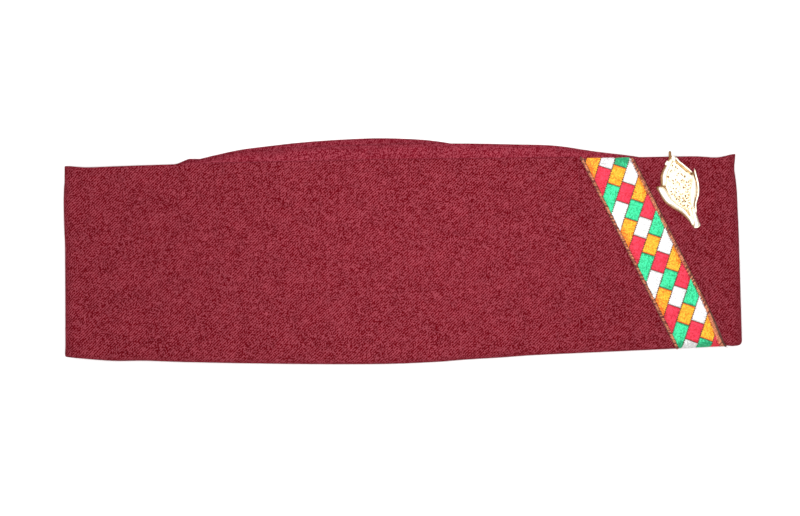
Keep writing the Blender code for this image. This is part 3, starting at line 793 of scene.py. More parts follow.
def panel_stations(side):
    """Stations of a side panel from fold to fold, on the upper side or on the floor side."""
    top = pi / 2
    quarter = FOLD_STEPS // 2
    turns = [FOLD_GAP + (top - FOLD_GAP) * i / quarter for i in range(quarter)]
    stations = [(1.0, turn) for turn in turns]
    stations += [(1.0 - 2.0 * i / PANEL_RUN_STEPS, top) for i in range(PANEL_RUN_STEPS + 1)]
    stations += [(-1.0, turn) for turn in reversed(turns)]
    return [(side * run, side * turn) for run, turn in stations]


def panel_section(run, turn, table):
    """A side panel's closed cross-section as (y, inset): up the outer face, over the ridge and back."""
    along = place_along(run, turn)
    edge = edge_y(along)
    low = rim_y(along) + PANEL_FOOT + PANEL_ROUND
    ridge = ridge_y(along, table)
    high = ridge - PANEL_ROUND
    middle = CROWN_INSET + PANEL_ROUND
    split = min(edge - 1.0 * MM, ridge - 4.0 * MM)
    levels = [low + (split - low) * step / HIDDEN_STEPS for step in range(HIDDEN_STEPS)]
    levels += [split + (high - split) * step / SHOWN_STEPS for step in range(SHOWN_STEPS + 1)]
    section = []
    for y in levels:
        bulge = smooth_step((y - edge) / BULGE_REACH + 0.5) * smooth_step((high - y) / BULGE_REACH)
        section.append((y, CROWN_INSET - CROWN_BULGE * bulge))
    section += arc(high, middle, PANEL_ROUND, 0, 180, ROUND_STEPS, 1)
    drops = [(step / INNER_STEPS) ** 2 for step in range(INNER_STEPS + 1)]
    section += [(high - (high - low) * drop, LIP_INSET) for drop in drops]
    section += arc(low, middle, PANEL_ROUND, 180, 360, 4, 1)
    return [(y, inset + seam_closing(run, turn, y, ridge)) for y, inset in section]


def make_crown_side(name, side, table, replaced):
    """A side panel, closed at both its ends."""
    stations = panel_stations(side)
    sections = [panel_section(run, turn, table) for run, turn in stations]
    builder = bent_tube(stations, sections, len(stations) - 1, FOLD_STEPS // 2, 0)
    bmesh.ops.holes_fill(builder, edges=[edge for edge in builder.edges if edge.is_boundary], sides=0)
    add_piece(builder, name, [crown_twill_painted_paler], replaced, 60)


make_crown_side("crown_cloth_upper", 1, RIDGE_UPPER, "crown_side_right")
make_crown_side("crown_cloth_floor", -1, RIDGE_FLOOR, "crown_side_left")

# %% [markdown]
# ## The top panel
#
# The crown's top is a long lens of cloth that folds inwards between the side panels, like the gusset of
# an envelope. It is one sheet: down from the floor side's ridge, round the bottom of the fold, and up to
# the other ridge. A Solidify modifier gives the sheet its thickness.

# %% Folded top panel
VALLEY_DEPTH = 42.0 * MM
VALLEY_DEPTH_END = 6.0 * MM
TOP_EDGE_SET_BACK = 0.4 * MM
SEWN_GAP = 0.02 * MM  # left between the top panel and a side panel where they are sewn
SEWN_REACH = 4.0 * MM
TOP_COLUMNS = 90
LEG_STEPS = 12
VALLEY_STEPS = 12


def make_crown_top():
    """The lens-shaped panel with its inward fold."""
    last_row = 2 * LEG_STEPS + VALLEY_STEPS

    def place(column, row):
        share = 2.0 * column / TOP_COLUMNS - 1.0
        run = share * TOP_HALF_LENGTH / (HALF_LENGTH_RIM - FOLD_RADIUS)
        along = place_along(run, pi / 2)
        ridges = (ridge_y(along, RIDGE_FLOOR), ridge_y(along, RIDGE_UPPER))
        fade = sqrt(max(0.0, 1.0 - share ** 2))
        valley = min(ridges) - VALLEY_DEPTH_END - (VALLEY_DEPTH - VALLEY_DEPTH_END) * fade
        low = cap_point(run, -pi / 2, valley, TOP_INSET)
        high = cap_point(run, pi / 2, valley, TOP_INSET)
        radius = (high.z - low.z) / 2
        for ridge, turn, step in ((ridges[0], -pi / 2, row), (ridges[1], pi / 2, last_row - row)):
            if step < LEG_STEPS:
                start = ridge - TOP_EDGE_SET_BACK
                y = start + step / LEG_STEPS * (valley + radius - start)
                free = smooth_step((start - y) / SEWN_REACH)
                inset = LIP_INSET + SEWN_GAP + (GAP - SEWN_GAP) * free
                return cap_point(run, turn, y, inset + seam_closing(run, turn, y, ridge))
        angle = pi * (row - LEG_STEPS) / VALLEY_STEPS
        middle = (high + low) / 2
        return Vector((low.x, valley + radius * (1 - sin(angle)), middle.z - radius * cos(angle)))

    builder = bent_grid(TOP_COLUMNS, last_row, place, 0, 0)
    piece = add_piece(builder, "crown_cloth_top", [crown_twill_painted_paler], "crown_top", align=False)
    thicken(piece, TOP_WALL, -1.0, True)


make_crown_top()

# %% [markdown]
# ## Strands
#
# Threads, stitches and the wires of the brooch are all the same thing: a round strand along a line,
# closed at both ends. A UV sphere is already that. Its poles become the two ends, each of its rings is
# moved to a place along the line, and the ring's radius is the strand's. So one function makes them all,
# and every strand is a small closed body.


# %% One strand from a sphere, and many poured together
def add_strand(builder, line, widths, heights, sides=6, material=0, tones=None):
    """A strand along a line, with a half-width, a half-height and perhaps a tone for each point."""
    last = len(line) - 1
    layer = builder.verts.layers.float.get("tone")
    made = bmesh.ops.create_uvsphere(builder, u_segments=sides, v_segments=last, radius=1.0)
    up = Vector((0.0, 0.0, 1.0))
    for vert in made["verts"]:
        ring = round(acos(max(-1.0, min(1.0, vert.co.z))) / pi * last)
        before = line[max(ring - 1, 0)]
        after = line[min(ring + 1, last)]
        ahead = (after - before).normalized()
        side = ahead.cross(up).normalized()
        lift = side.cross(ahead)
        circle = vert.co.xy.normalized() if 0 < ring < last else Vector((0.0, 0.0))
        vert.co = line[ring] + side * circle.x * widths[ring] + lift * circle.y * heights[ring]
        if tones:
            vert[layer] = tones[ring]
    for face in {face for vert in made["verts"] for face in vert.link_faces}:
        face.material_index = material


def new_toned_builder():
    """An empty builder whose vertices have a tone: 0 for a thread's pale colour, 1 for its deep one."""
    builder = bmesh.new()
    builder.verts.layers.float.new("tone")
    return builder


def pour(builder, part):
    """Add everything of a part to a builder. Many small builders are far quicker than one large one."""
    mesh = bpy.data.meshes.new("part")
    part.to_mesh(mesh)
    part.free()
    builder.from_mesh(mesh)
    bpy.data.meshes.remove(mesh)


# %% [markdown]
# ## The ribbon
#
# The ribbon is a woven band, sewn on slanting from the cuff's top edge down to the rim, and turned under
# at both ends. Its pattern is a common one of slanted blocks in four colours. Each block is a row of
# shiny satin threads that lie side by side, and neighbouring columns of blocks meet in a fine sawtooth.
# Brown overcast stitches bind both edges.
#
# All of it is laid out flat on a plan first. `ribbon_point` then wraps the plan onto the cuff, over the
# top edge and round the rim. The threads are real strands, because their round backs are what makes satin
# shine.

# %% The ribbon's plan
AXIS_TOP = Vector((RIBBON_TOP_X, TOP_Y))
AXIS_RIM = Vector((RIBBON_RIM_X, RIM_Y))
AXIS = (AXIS_RIM - AXIS_TOP).normalized()
ACROSS = Vector((-AXIS.y, AXIS.x))
RIBBON_LENGTH = (AXIS_RIM - AXIS_TOP).length
RIBBON_BASE = 0.6 * MM
TUCK_TOP = 1.2 * MM
TUCK_RIM = 2.6 * MM


def wrap_section(along, y, rise):
    """(y, inset) of a point of the plan, a rise above the cuff's cloth and wrapped over edge and rim."""
    over_edge = (1, edge_y(along) - EDGE_ROUND, EDGE_ROUND, EDGE_TAPER + EDGE_ROUND)
    round_rim = (-1, rim_y(along) + RIM_ROUND, RIM_ROUND, RIM_ROUND)
    for way, start, radius, centre in (over_edge, round_rim):
        past = way * (y - start)
        if past > 0:
            angle = min(past / (radius + GAP), pi / 2)
            extra = max(0.0, past - (radius + GAP) * pi / 2)
            reach = radius + rise
            return start + way * reach * sin(angle), centre - reach * cos(angle) + extra
    return y, face_inset(along, y) - rise


def ribbon_point(plan):
    """A point of the ribbon's flat plan, wrapped onto the cuff."""
    along = plan.x / HALF_LENGTH_RIM
    y, inset = wrap_section(along, plan.y, plan.z)
    reach = half_length(height_share(along, min(max(y, RIM_Y), TOP_Y))) - FOLD_RADIUS
    return cap_point(plan.x / reach, pi / 2, y, inset)


def plan_point(across, down, rise=0.0):
    """A point of the plan from its distance across the ribbon's middle line and down it."""
    return Vector((*(AXIS_TOP + ACROSS * across + AXIS * down), rise))


def top_limit(x):
    """Where the ribbon is cut off inside the cuff's top edge, on the plan."""
    return edge_y(x / HALF_LENGTH_RIM) + TUCK_TOP


def rim_limit(x):
    """Where the ribbon is cut off under the rim, on the plan."""
    return rim_y(x / HALF_LENGTH_RIM) - TUCK_RIM


def add_ribbon_part(builder, name, materials):
    """Wrap a part of the ribbon from its plan onto the cuff, and make it a piece."""
    for vert in builder.verts:
        vert.co = ribbon_point(vert.co)
    add_piece(builder, name, materials, "ribbon")


print("ribbon slant", round(degrees(atan2(AXIS.x, -AXIS.y)), 2), "degrees")


# %% Thread materials
def make_thread_group():
    """Colour and height of dyed thread: soft streaks and a little fluff."""
    group, given, end = new_group("dyed thread", {"Tone": 0.0, "Streaks": 0.5})
    streaks = new_noise(given["Place"], 2300.0, 2.0, 0.7)
    clouds = new_noise(given["Place"], 420.0, 2.0, 0.5)
    flecks = new_flecks(given["Place"], FLECK)
    streaky = spread(streaks * 0.7 + clouds * 0.3, 0.36, 0.6, 1.0, 0.0) * given["Streaks"]
    tone = streaky + given["Tone"] + weigh(flecks, 1.0)
    colour = blend_colours(tone, given["Pale Colour"], given["Deep Colour"])
    colour = blend_colours(spread(flecks, 1.0, 0.3, 0.0, 0.02), colour, WHITE)
    feed(end, {"Colour": colour, "Height": streaks})
    return group


THREAD = make_thread_group()
THREAD_BUMP = 0.05 * MM


def make_thread(name, pale, deep, roughness=0.5, streaks=0.4):
    """A dyed thread. The tone of each strand comes from the mesh."""
    material, shader = new_material(name, {"Roughness": roughness, "Specular IOR Level": 0.2})
    tree = material.node_tree
    tone = tree.nodes.new("ShaderNodeAttribute")
    tone.attribute_name = "tone"
    place = new_node(tree, "ShaderNodeTexCoord", {}, "Object")
    inputs = {"Place": place, "Tone": Value(tone.outputs["Fac"]), "Streaks": streaks}
    dress(shader, THREAD, pale, deep, inputs, 0.3, THREAD_BUMP)
    return material


SATIN = [
    make_thread("orange thread", (0.82, 0.500, 0.022), (0.66, 0.120, 0.004)),
    make_thread("red thread", (0.78, 0.032, 0.082), (0.48, 0.009, 0.022)),
    make_thread("green thread", (0.042, 0.74, 0.350), (0.004, 0.24, 0.095)),
    make_thread("white thread", (0.82, 0.82, 0.83), (0.45, 0.44, 0.43), 0.5, 0.2),
]
copper_thread = make_thread("copper thread", (0.64, 0.220, 0.105), (0.14, 0.020, 0.012), 0.6)
dark_thread_and_hole_shade = make_thread("dark thread and hole shade", (0.035, 0.014, 0.010), (0.012, 0.005, 0.004), 0.8)
# The backing's dark brown is its thread's colour and also painted shade for the gaps between the satin
# threads and beside the stitches.
backing_thread_and_gap_shade = make_thread("backing thread and gap shade", (0.11, 0.034, 0.022), (0.04, 0.012, 0.008), 0.8)

# %% The backing band
RIBBON_COLUMNS = 14
RIBBON_ROWS = 72
FRONT_INWARD = 0.45 * MM  # how much narrower the ribbon is at the top of its front edge
RIM_INWARD = 1.4 * MM  # and where that edge meets the rim
RIM_INWARD_START = 0.8
REAR_OUTWARD = 0.6 * MM  # how much wider it is at the top of its rear edge


def edge_inward(side, share):
    """How far an edge of the ribbon comes in, at a share of the way from the top edge to the rim."""
    if side < 0:
        return REAR_OUTWARD * (0.5 * share - 1.0)
    near_rim = min(1.0, max(0.0, (share - RIM_INWARD_START) / (1.0 - RIM_INWARD_START)))
    return FRONT_INWARD * min(1.0, max(0.0, 1.0 - share)) + RIM_INWARD * near_rim ** 1.5


def make_backing():
    """The thin band that the satin threads are woven into."""
    slope = (RIBBON_RIM_X - RIBBON_TOP_X) / (RIM_Y - TOP_Y)

    def place(column, row):
        share = row / RIBBON_ROWS
        across = 2.0 * column / RIBBON_COLUMNS - 1.0
        side = across * (RIBBON_HALF_SPAN - edge_inward(across, share) * 1.1)
        top_y = top_limit(RIBBON_TOP_X + side)
        low_y = rim_limit(RIBBON_RIM_X + side)
        y = top_y + (low_y - top_y) * share
        x = RIBBON_TOP_X + (y - TOP_Y) * slope + side
        return ribbon_point(Vector((x, y, GAP * 0.5)))

    builder = bent_grid(RIBBON_COLUMNS, RIBBON_ROWS, place, 0, 0)
    piece = add_piece(builder, "ribbon_backing", [backing_thread_and_gap_shade], "ribbon")
    thicken(piece, RIBBON_BASE, 1.0)


make_backing()

# %% The satin blocks
EDGE_BAND = 1.6 * MM
BLOCK_LENGTH = 8.56 * MM
COLUMN_STEP = 8.40 * MM
FIRST_BLOCK = 9.33 * MM
THREADS_IN_BLOCK = 19
THREADS_BEYOND = 8  # how many threads more the outer blocks of a column have, past the ribbon's edges
THREAD_WIDTH = 0.50 * MM
THREAD_LIFT = 0.12 * MM
SHORT_REACH = -0.20 * MM  # how far every other thread stays behind its column's edge
END_GAP = 0.28 * MM
ROW_LIFT = GAP * 0.5 + RIBBON_BASE
BLOCK_SLANT = radians(45)
ALONG_COLUMN = (Matrix.Rotation(-BLOCK_SLANT, 2) @ AXIS).normalized()
OVER_COLUMN = Vector((-ALONG_COLUMN.y, ALONG_COLUMN.x))
TIP_SHARES = [0.0, 0.015, 0.05]  # places in the tip of a thread, and its width there
TIP_TAPER = [0.0, 0.66, 0.97]
KEPT_STEPS = 40
BOUND_TONES = (0.75, 0.55, 0.10, 0.10)  # deepening of each colour beside the bound edges
BOUND_REACH = 2.5 * MM
BORDER_SHADE = 0.85  # painted shade on the first and the last thread of a block, where blocks meet
TOP_BEND_SHADE = (0.4, 0.5, 0.95, 0.5)  # painted shade on each colour where the ribbon bends over the cuff's edge
TOP_BEND_SHADE_REACH = 5.0 * MM
# Painted shade on every colour where the ribbon bends round the rim.
RIM_BEND_SHADE = 1.0
RIM_BEND_SHADE_REACH = 3.4 * MM
BEND_REACH = 3.0 * MM  # threads closer than this to edge or rim are bent in many steps


def kept_stretch(start, end):
    """The first and last share of a thread that lie on the ribbon, inside its edges and ends."""
    kept = []
    for step in range(KEPT_STEPS + 1):
        point = start.lerp(end, step / KEPT_STEPS)
        across = (point - AXIS_TOP).dot(ACROSS)
        inward = edge_inward(across, (point - AXIS_TOP).dot(AXIS) / RIBBON_LENGTH)
        limit = RIBBON_WIDTH / 2 - EDGE_BAND * 0.75 - inward
        if abs(across) < limit and rim_limit(point.x) < point.y < top_limit(point.x):
            kept.append(step / KEPT_STEPS)
    return (kept[0], kept[-1]) if len(kept) > 3 else None


def edge_tone_and_bend_shade(flat, material):
    """How much deeper a colour is beside the bound edges, and the painted shade where the ribbon bends over
    edge and rim.
    """
    across = abs((flat - AXIS_TOP).dot(ACROSS))
    start = RIBBON_WIDTH / 2 - EDGE_BAND - BOUND_REACH
    beside = BOUND_TONES[material] * smooth_step((across - start) / BOUND_REACH)
    along = flat.x / HALF_LENGTH_RIM
    top_bend_shade = TOP_BEND_SHADE[material] * smooth_step(1.0 - (edge_y(along) - flat.y) / TOP_BEND_SHADE_REACH)
    rim_bend_shade = RIM_BEND_SHADE * smooth_step(1.0 - (flat.y - rim_y(along)) / RIM_BEND_SHADE_REACH)
    return max(beside, top_bend_shade, rim_bend_shade)


def add_thread(builder, start, end, material, tone):
    """One satin thread on the plan, raised a little in its middle, with painted shade at its tapered ends.
    """
    near_edge = max(start.y, end.y) > TOP_Y - BEND_REACH
    near_rim = min(start.y, end.y) < rim_y(start.x / HALF_LENGTH_RIM) + BEND_REACH
    steps = 8 if near_edge or near_rim else 2
    middle = [0.05 + 0.9 * i / steps for i in range(1, steps)]
    shares = TIP_SHARES + middle + [1.0 - share for share in reversed(TIP_SHARES)]
    taper = TIP_TAPER + [1.0] * len(middle) + TIP_TAPER[::-1]
    line = []
    tones = []
    for share, width in zip(shares, taper):
        flat = start.lerp(end, share)
        line.append(Vector((*flat, ROW_LIFT + THREAD_LIFT * (1.0 - (2.0 * share - 1.0) ** 4))))
        # Painted shade deepens the tapered tips, the border threads and the bends over edge and rim.
        tones.append(max(1.0 - width, edge_tone_and_bend_shade(flat, material), tone))
    widths = [THREAD_WIDTH / 2 * value for value in taper]
    add_strand(builder, line, widths, [width * 1.1 for width in widths], 6, material, tones)


dice = random.Random(7)
builder = new_toned_builder()
count = 0
half_column = COLUMN_STEP * sin(BLOCK_SLANT) / 2
pitch = (BLOCK_LENGTH - END_GAP) / THREADS_IN_BLOCK
for column in range(-2, int(RIBBON_LENGTH / COLUMN_STEP) + 3):
    part = new_toned_builder()
    centre = AXIS_TOP + AXIS * (FIRST_BLOCK + COLUMN_STEP * column)
    for block in (-1, 0, 1):
        first_number = min(block, 0) * THREADS_BEYOND
        last_number = THREADS_IN_BLOCK + max(block, 0) * THREADS_BEYOND
        for number in range(first_number, last_number):
            down = BLOCK_LENGTH * (block - 0.5) + END_GAP / 2 + pitch * (number + 0.5)
            middle = centre + ALONG_COLUMN * (down + dice.uniform(-0.02, 0.02) * MM)
            reach = half_column + (SHORT_REACH if number % 2 else 0.0)
            start = middle - OVER_COLUMN * (reach + dice.uniform(-0.06, 0.08) * MM)
            end = middle + OVER_COLUMN * (reach + dice.uniform(-0.06, 0.08) * MM)
            border = (number == 0 and block > -1) or (number == THREADS_IN_BLOCK - 1 and block < 1)
            tone = BORDER_SHADE if border else dice.uniform(0.0, 0.22)
            kept = kept_stretch(start, end)
            if kept:
                ends = [start.lerp(end, share) for share in kept]
                add_thread(part, *ends, (column + 2 * block) % 4, tone)
                count += 1
    pour(builder, part)
print("satin threads", count)
add_ribbon_part(builder, "ribbon_threads", SATIN)

# %% [markdown]
# ### The ribbon's edges
#
# Both edges are bound: brown thread goes over and over the edge in short slanting stitches, some of them
# darker than others. Tiny dark strands beside them are painted shade for the holes where the needle went
# through, and a few dark stitches hold the ribbon to the cuff. They are placed with a little unevenness,
# from a random source with a fixed seed, so that the script makes the same ribbon each time.

# %% Overcast edges and sewing stitches
STITCH_PITCH = 0.72 * MM
STITCH_WIDTH = 0.64 * MM
STITCH_SLANT = 0.42 * MM
BEYOND_TOP = 11.0 * MM  # how far the rows of stitches start above the cuff's edge
BEYOND_RIM = 12.0 * MM
DEEP_SHARE = 0.42  # share of the stitches that are darker
HOLE_SHARE = 0.8
HOLE_WIDTH = 0.36 * MM
HOLE_LIFT = 0.36 * MM
SEWN_SHARE = 0.75  # share of every other stitch that has a dark one beside it
SEWN_HALF = 0.30 * MM


def add_plan_stitch(builder, points, width, height, tone, material=0):
    """A short stitch through points of the plan, with painted shade at its tapered ends."""
    line = [points[0]]
    for first, second in zip(points, points[1:]):
        line += [first.lerp(second, 0.25), first.lerp(second, 0.75)]
    line.append(points[-1])
    taper = [0.0, 0.85] + [1.0] * (len(line) - 4) + [0.85, 0.0]
    widths = [width / 2 * value for value in taper]
    heights = [height / 2 * value for value in taper]
    add_strand(builder, line, widths, heights, 6, material, [max(tone, 1.0 - value) for value in taper])


def add_hole_shade(builder, across, down, length):
    """A dark strand of painted shade for a needle hole, long in the direction of the ribbon."""
    ends = [plan_point(across, place, ROW_LIFT + HOLE_LIFT) for place in (down, down + length)]
    add_plan_stitch(builder, ends, HOLE_WIDTH, 0.2 * MM, 0.0, 1)


dice = random.Random(11)
builder = new_toned_builder()
half = RIBBON_WIDTH / 2
for side in (-1.0, 1.0):
    part = new_toned_builder()
    down = -BEYOND_TOP
    number = 0
    while down < RIBBON_LENGTH + BEYOND_RIM:
        middle = plan_point(side * (half - EDGE_BAND / 2), down)
        if rim_limit(middle.x) + 0.5 * MM < middle.y < top_limit(middle.x) - 0.4 * MM:
            deep = dice.random() < DEEP_SHARE
            tone = dice.uniform(0.3, 1.2) if deep else dice.uniform(-0.3, 0.25)
            wobble = dice.uniform(-0.07, 0.07) * MM
            inward = edge_inward(side, down / RIBBON_LENGTH)
            reach = half - EDGE_BAND - dice.uniform(-0.05, 0.12) * MM - inward * 1.5
            edge = half + dice.uniform(-0.05, 0.2) * MM - inward
            outer = plan_point(side * edge, down - STITCH_SLANT + wobble, 0.1 * MM)
            crest = plan_point(side * (half - 0.7 * MM - inward), down, ROW_LIFT + 0.26 * MM)
            inner = plan_point(side * reach, down + STITCH_SLANT, ROW_LIFT + 0.12 * MM)
            add_plan_stitch(part, [outer, crest, inner], STITCH_WIDTH, STITCH_WIDTH * 0.8, tone)
            if dice.random() < HOLE_SHARE:
                add_hole_shade(part, side * (reach + 0.1 * MM), down + dice.uniform(0.1, 0.5) * MM, 0.45 * MM)
            if side > 0 and dice.random() < 0.2:
                add_hole_shade(part, half - dice.uniform(0.5, 1.1) * MM, down, 0.4 * MM)
            if number % 2 == 1 and dice.random() < SEWN_SHARE:
                start_down = down + dice.uniform(-0.4, 0.4) * MM
                end_down = down + dice.uniform(0.2, 0.8) * MM
                start = plan_point(side * (half - SEWN_HALF - inward), start_down, 0.46 * MM)
                end = plan_point(side * (half + SEWN_HALF - inward), end_down, 0.08 * MM)
                add_plan_stitch(part, [start, end], 0.36 * MM, 0.3 * MM, 0.0, 1)
        down += STITCH_PITCH * dice.uniform(0.8, 1.2)
        number += 1
    pour(builder, part)
add_ribbon_part(builder, "ribbon_stitches", [copper_thread, dark_thread_and_hole_shade])

# %% [markdown]
# ## The brooch
#
# The brooch is a cast and gilded flower bud: a granulated body with small pits, held between two smooth
# petals that meet in a stem. It is modelled flat, in millimetres, in its own small frame: across, along
# towards the tip, and up. A matrix then puts it on the cuff, tilted as it is pinned there.
#
# The petals and borders are strands too, wide and low ones that run between two edges. The body is a grid
# with dents, and its grains are icospheres. Polished gilding shines almost white under the lamp. It is
# matt on the band. Dark gilt paints the shade in the pits, on the sides of the back plate and in a groove.

# %% The brooch's place on the cuff
BROOCH_WIDTH = 17.9 * MM
BROOCH_TILT = radians(16.1)


def find_brooch_frame():
    """The place and turn of the brooch's back, a clearance above the cuff's upper face."""
    step = BROOCH_WIDTH / 4
    centre = upper_face(BROOCH_X, BROOCH_Y, -GAP)
    to_front = upper_face(BROOCH_X + step, BROOCH_Y, -GAP) - centre
    to_crown = upper_face(BROOCH_X, BROOCH_Y + step, -GAP) - centre
    up = to_front.cross(to_crown).normalized()
    front = to_crown.cross(up).normalized()
    crown = up.cross(front)
    turn = Matrix((front, crown, up)).transposed().to_4x4()
    return Matrix.Translation(centre) @ turn @ Matrix.Rotation(BROOCH_TILT, 4, "Z") @ Matrix.Scale(MM, 4)


BROOCH_FRAME = find_brooch_frame()
print("brooch at", [round(value / MM, 1) for value in BROOCH_FRAME.translation])


# %% Gilt finishes
def make_gilt(name, clean, dull, roughness, amount):
    """Thin gold plating with faint clouds of dullness."""
    material, shader = new_material(name, {"Metallic": 1.0})
    place = new_node(material.node_tree, "ShaderNodeTexCoord", {}, "Object")
    clouds = new_noise(place, 700.0, 3.0, 0.6)
    colour = blend_colours(spread(clouds, 0.42, 0.68, 0.0, amount), (*clean, 1.0), (*dull, 1.0))
    rough = spread(clouds, 0.35, 0.7, roughness, roughness + 0.16)
    feed(shader, {"Base Color": colour, "Roughness": rough})
    add_bump(shader, new_noise(place, 5200.0, 2.0, 0.6), 0.25, 0.03 * MM)
    return material


GILTS = [
    make_gilt("bright gilt", (1.0, 0.94, 0.80), (1.0, 0.82, 0.52), 0.40, 0.5),
    make_gilt("pale gilt", (1.0, 0.97, 0.86), (0.95, 0.86, 0.66), 0.76, 0.7),
    make_gilt("matt gilt", (0.78, 0.62, 0.36), (0.62, 0.43, 0.20), 0.80, 0.8),
    # The dark gilt is painted shade in the pits, on the plate's sides and in the groove, and the colour of
    # the thin spike at the tip.
    make_gilt("dark gilt and painted shade", (0.46, 0.27, 0.12), (0.24, 0.13, 0.06), 0.80, 0.9),
]
BRIGHT, PALE, MATT, DARK_GILT_AND_SHADE = range(4)

# %% Lines of the brooch, in millimetres from its middle
BROOCH_OUTLINE = (
    (-0.6, 14.4), (0.3, 12.6), (1.4, 10.8), (2.7, 8.8), (3.8, 7.0), (4.8, 5.8), (5.9, 6.4), (6.0, 4.0),
    (5.9, 1.5), (5.6, -0.9), (4.9, -3.2), (3.8, -5.2), (2.6, -7.1), (2.0, -9.2), (1.5, -11.2),
    (1.35, -12.6), (1.5, -14.7), (1.6, -16.0), (0.4, -16.9), (-1.3, -16.9), (-1.9, -15.8), (-2.5, -13.8),
    (-3.4, -11.8), (-4.7, -9.6), (-6.4, -7.6), (-8.4, -5.4), (-10.0, -3.1), (-11.0, -0.4), (-11.3, 1.8),
    (-11.9, 4.5), (-9.9, 4.7), (-9.3, 6.4), (-8.6, 8.7), (-7.2, 10.7), (-5.4, 12.4), (-5.0, 13.3),
    (-3.9, 13.9), (-2.5, 15.2), (-1.3, 15.6),
)
LEFT_OUTER = (
    (-11.5, 4.2), (-11.0, 1.8), (-10.6, -0.4), (-9.65, -3.0), (-7.95, -5.3), (-5.95, -7.5), (-4.2, -9.5),
    (-3.0, -11.8), (-2.3, -13.8), (-1.8, -16.7),
)
LEFT_INNER = (
    (-11.2, 4.4), (-9.1, 4.0), (-7.9, 1.2), (-7.5, -1.0), (-6.2, -3.4), (-4.6, -5.8), (-2.8, -7.8),
    (-1.1, -10.6), (-0.4, -13.4), (-0.3, -16.6),
)
LEFT_LINE = ((-8.4, -3.6), (-7.1, -5.1), (-5.2, -7.1), (-3.4, -9.3))
LEFT_PATCH = ((-3.0, -8.4), (-2.7, -9.8), (-2.1, -11.8))
LEFT_PATCH_INNER = ((-2.1, -8.4), (-1.5, -9.8), (-1.4, -11.8))
FOLD_LEFT = ((-1.7, -8.4), (-1.4, -10.4), (-0.9, -12.6))
FOLD_RIGHT = ((-0.1, -8.4), (-0.2, -10.4), (-0.2, -12.6))
RIGHT_RIM = (
    (6.35, 7.8), (6.1, 4.6), (6.0, 1.5), (5.6, -0.8), (4.9, -3.0), (3.8, -5.0), (2.5, -6.9), (1.95, -8.5),
    (1.65, -9.9), (1.2, -11.4),
)
RIGHT_OUTER = (
    (5.2, 5.5), (5.2, 3.9), (5.2, 1.8), (4.9, -0.6), (4.1, -2.8), (3.0, -4.6), (1.9, -6.6), (1.2, -9.0),
)
RIGHT_INNER = (
    (4.5, 5.3), (4.2, 3.6), (3.1, 1.2), (1.8, -0.8), (0.8, -2.9), (0.4, -5.0), (0.2, -7.0), (0.2, -9.0),
)
RIGHT_GROOVE = ((3.3, -4.3), (2.7, -5.6), (2.1, -6.9), (1.5, -8.2))
BAND_OUTER = ((-0.1, 14.5), (0.3, 13.6), (0.95, 12.2), (2.0, 10.7), (3.3, 8.7), (4.25, 7.2), (4.95, 6.0))
BAND_FACE_OUTER = ((-0.1, 13.4), (0.5, 12.2), (1.55, 10.7), (2.85, 8.7), (3.8, 7.2), (4.5, 5.9))
BAND_FACE_INNER = ((-1.0, 12.9), (-0.5, 12.0), (0.5, 10.5), (1.8, 8.5), (2.75, 7.0), (3.5, 5.7))
BAND_INNER = ((-1.3, 13.0), (-0.95, 11.9), (0.05, 10.4), (1.35, 8.4), (2.3, 6.9), (3.2, 5.4))
CROWN_LEFT = ((-1.6, 15.4), (-3.4, 13.8), (-4.9, 12.3), (-6.8, 10.4), (-8.1, 8.4), (-8.7, 6.3), (-9.3, 4.3))
CROWN_INNER = ((-1.0, 14.4), (-2.4, 12.4), (-3.8, 10.8), (-5.2, 9.0), (-6.2, 7.2), (-6.9, 5.4), (-7.4, 3.6))
TIP_LEFT = ((-1.9, 15.9), (-1.9, 14.4), (-1.6, 12.8))
TIP_RIGHT = ((-0.8, 15.4), (-0.1, 14.2), (-0.6, 12.9))
STEM = ((0.8, -8.2), (0.6, -10.5), (0.4, -12.7), (0.25, -14.8), (0.2, -16.9))
BODY_EDGE = (
    (-1.2, 13.4), (-3.3, 11.6), (-5.6, 9.2), (-6.9, 6.6), (-7.9, 3.4), (-7.6, 0.0), (-6.5, -3.2),
    (-4.4, -6.4), (-1.3, -9.4), (0.4, -8.2), (0.5, -4.8), (1.5, -2.0), (3.0, 0.8), (4.3, 3.6), (4.3, 4.9),
    (1.9, 7.6), (0.0, 10.4),
)
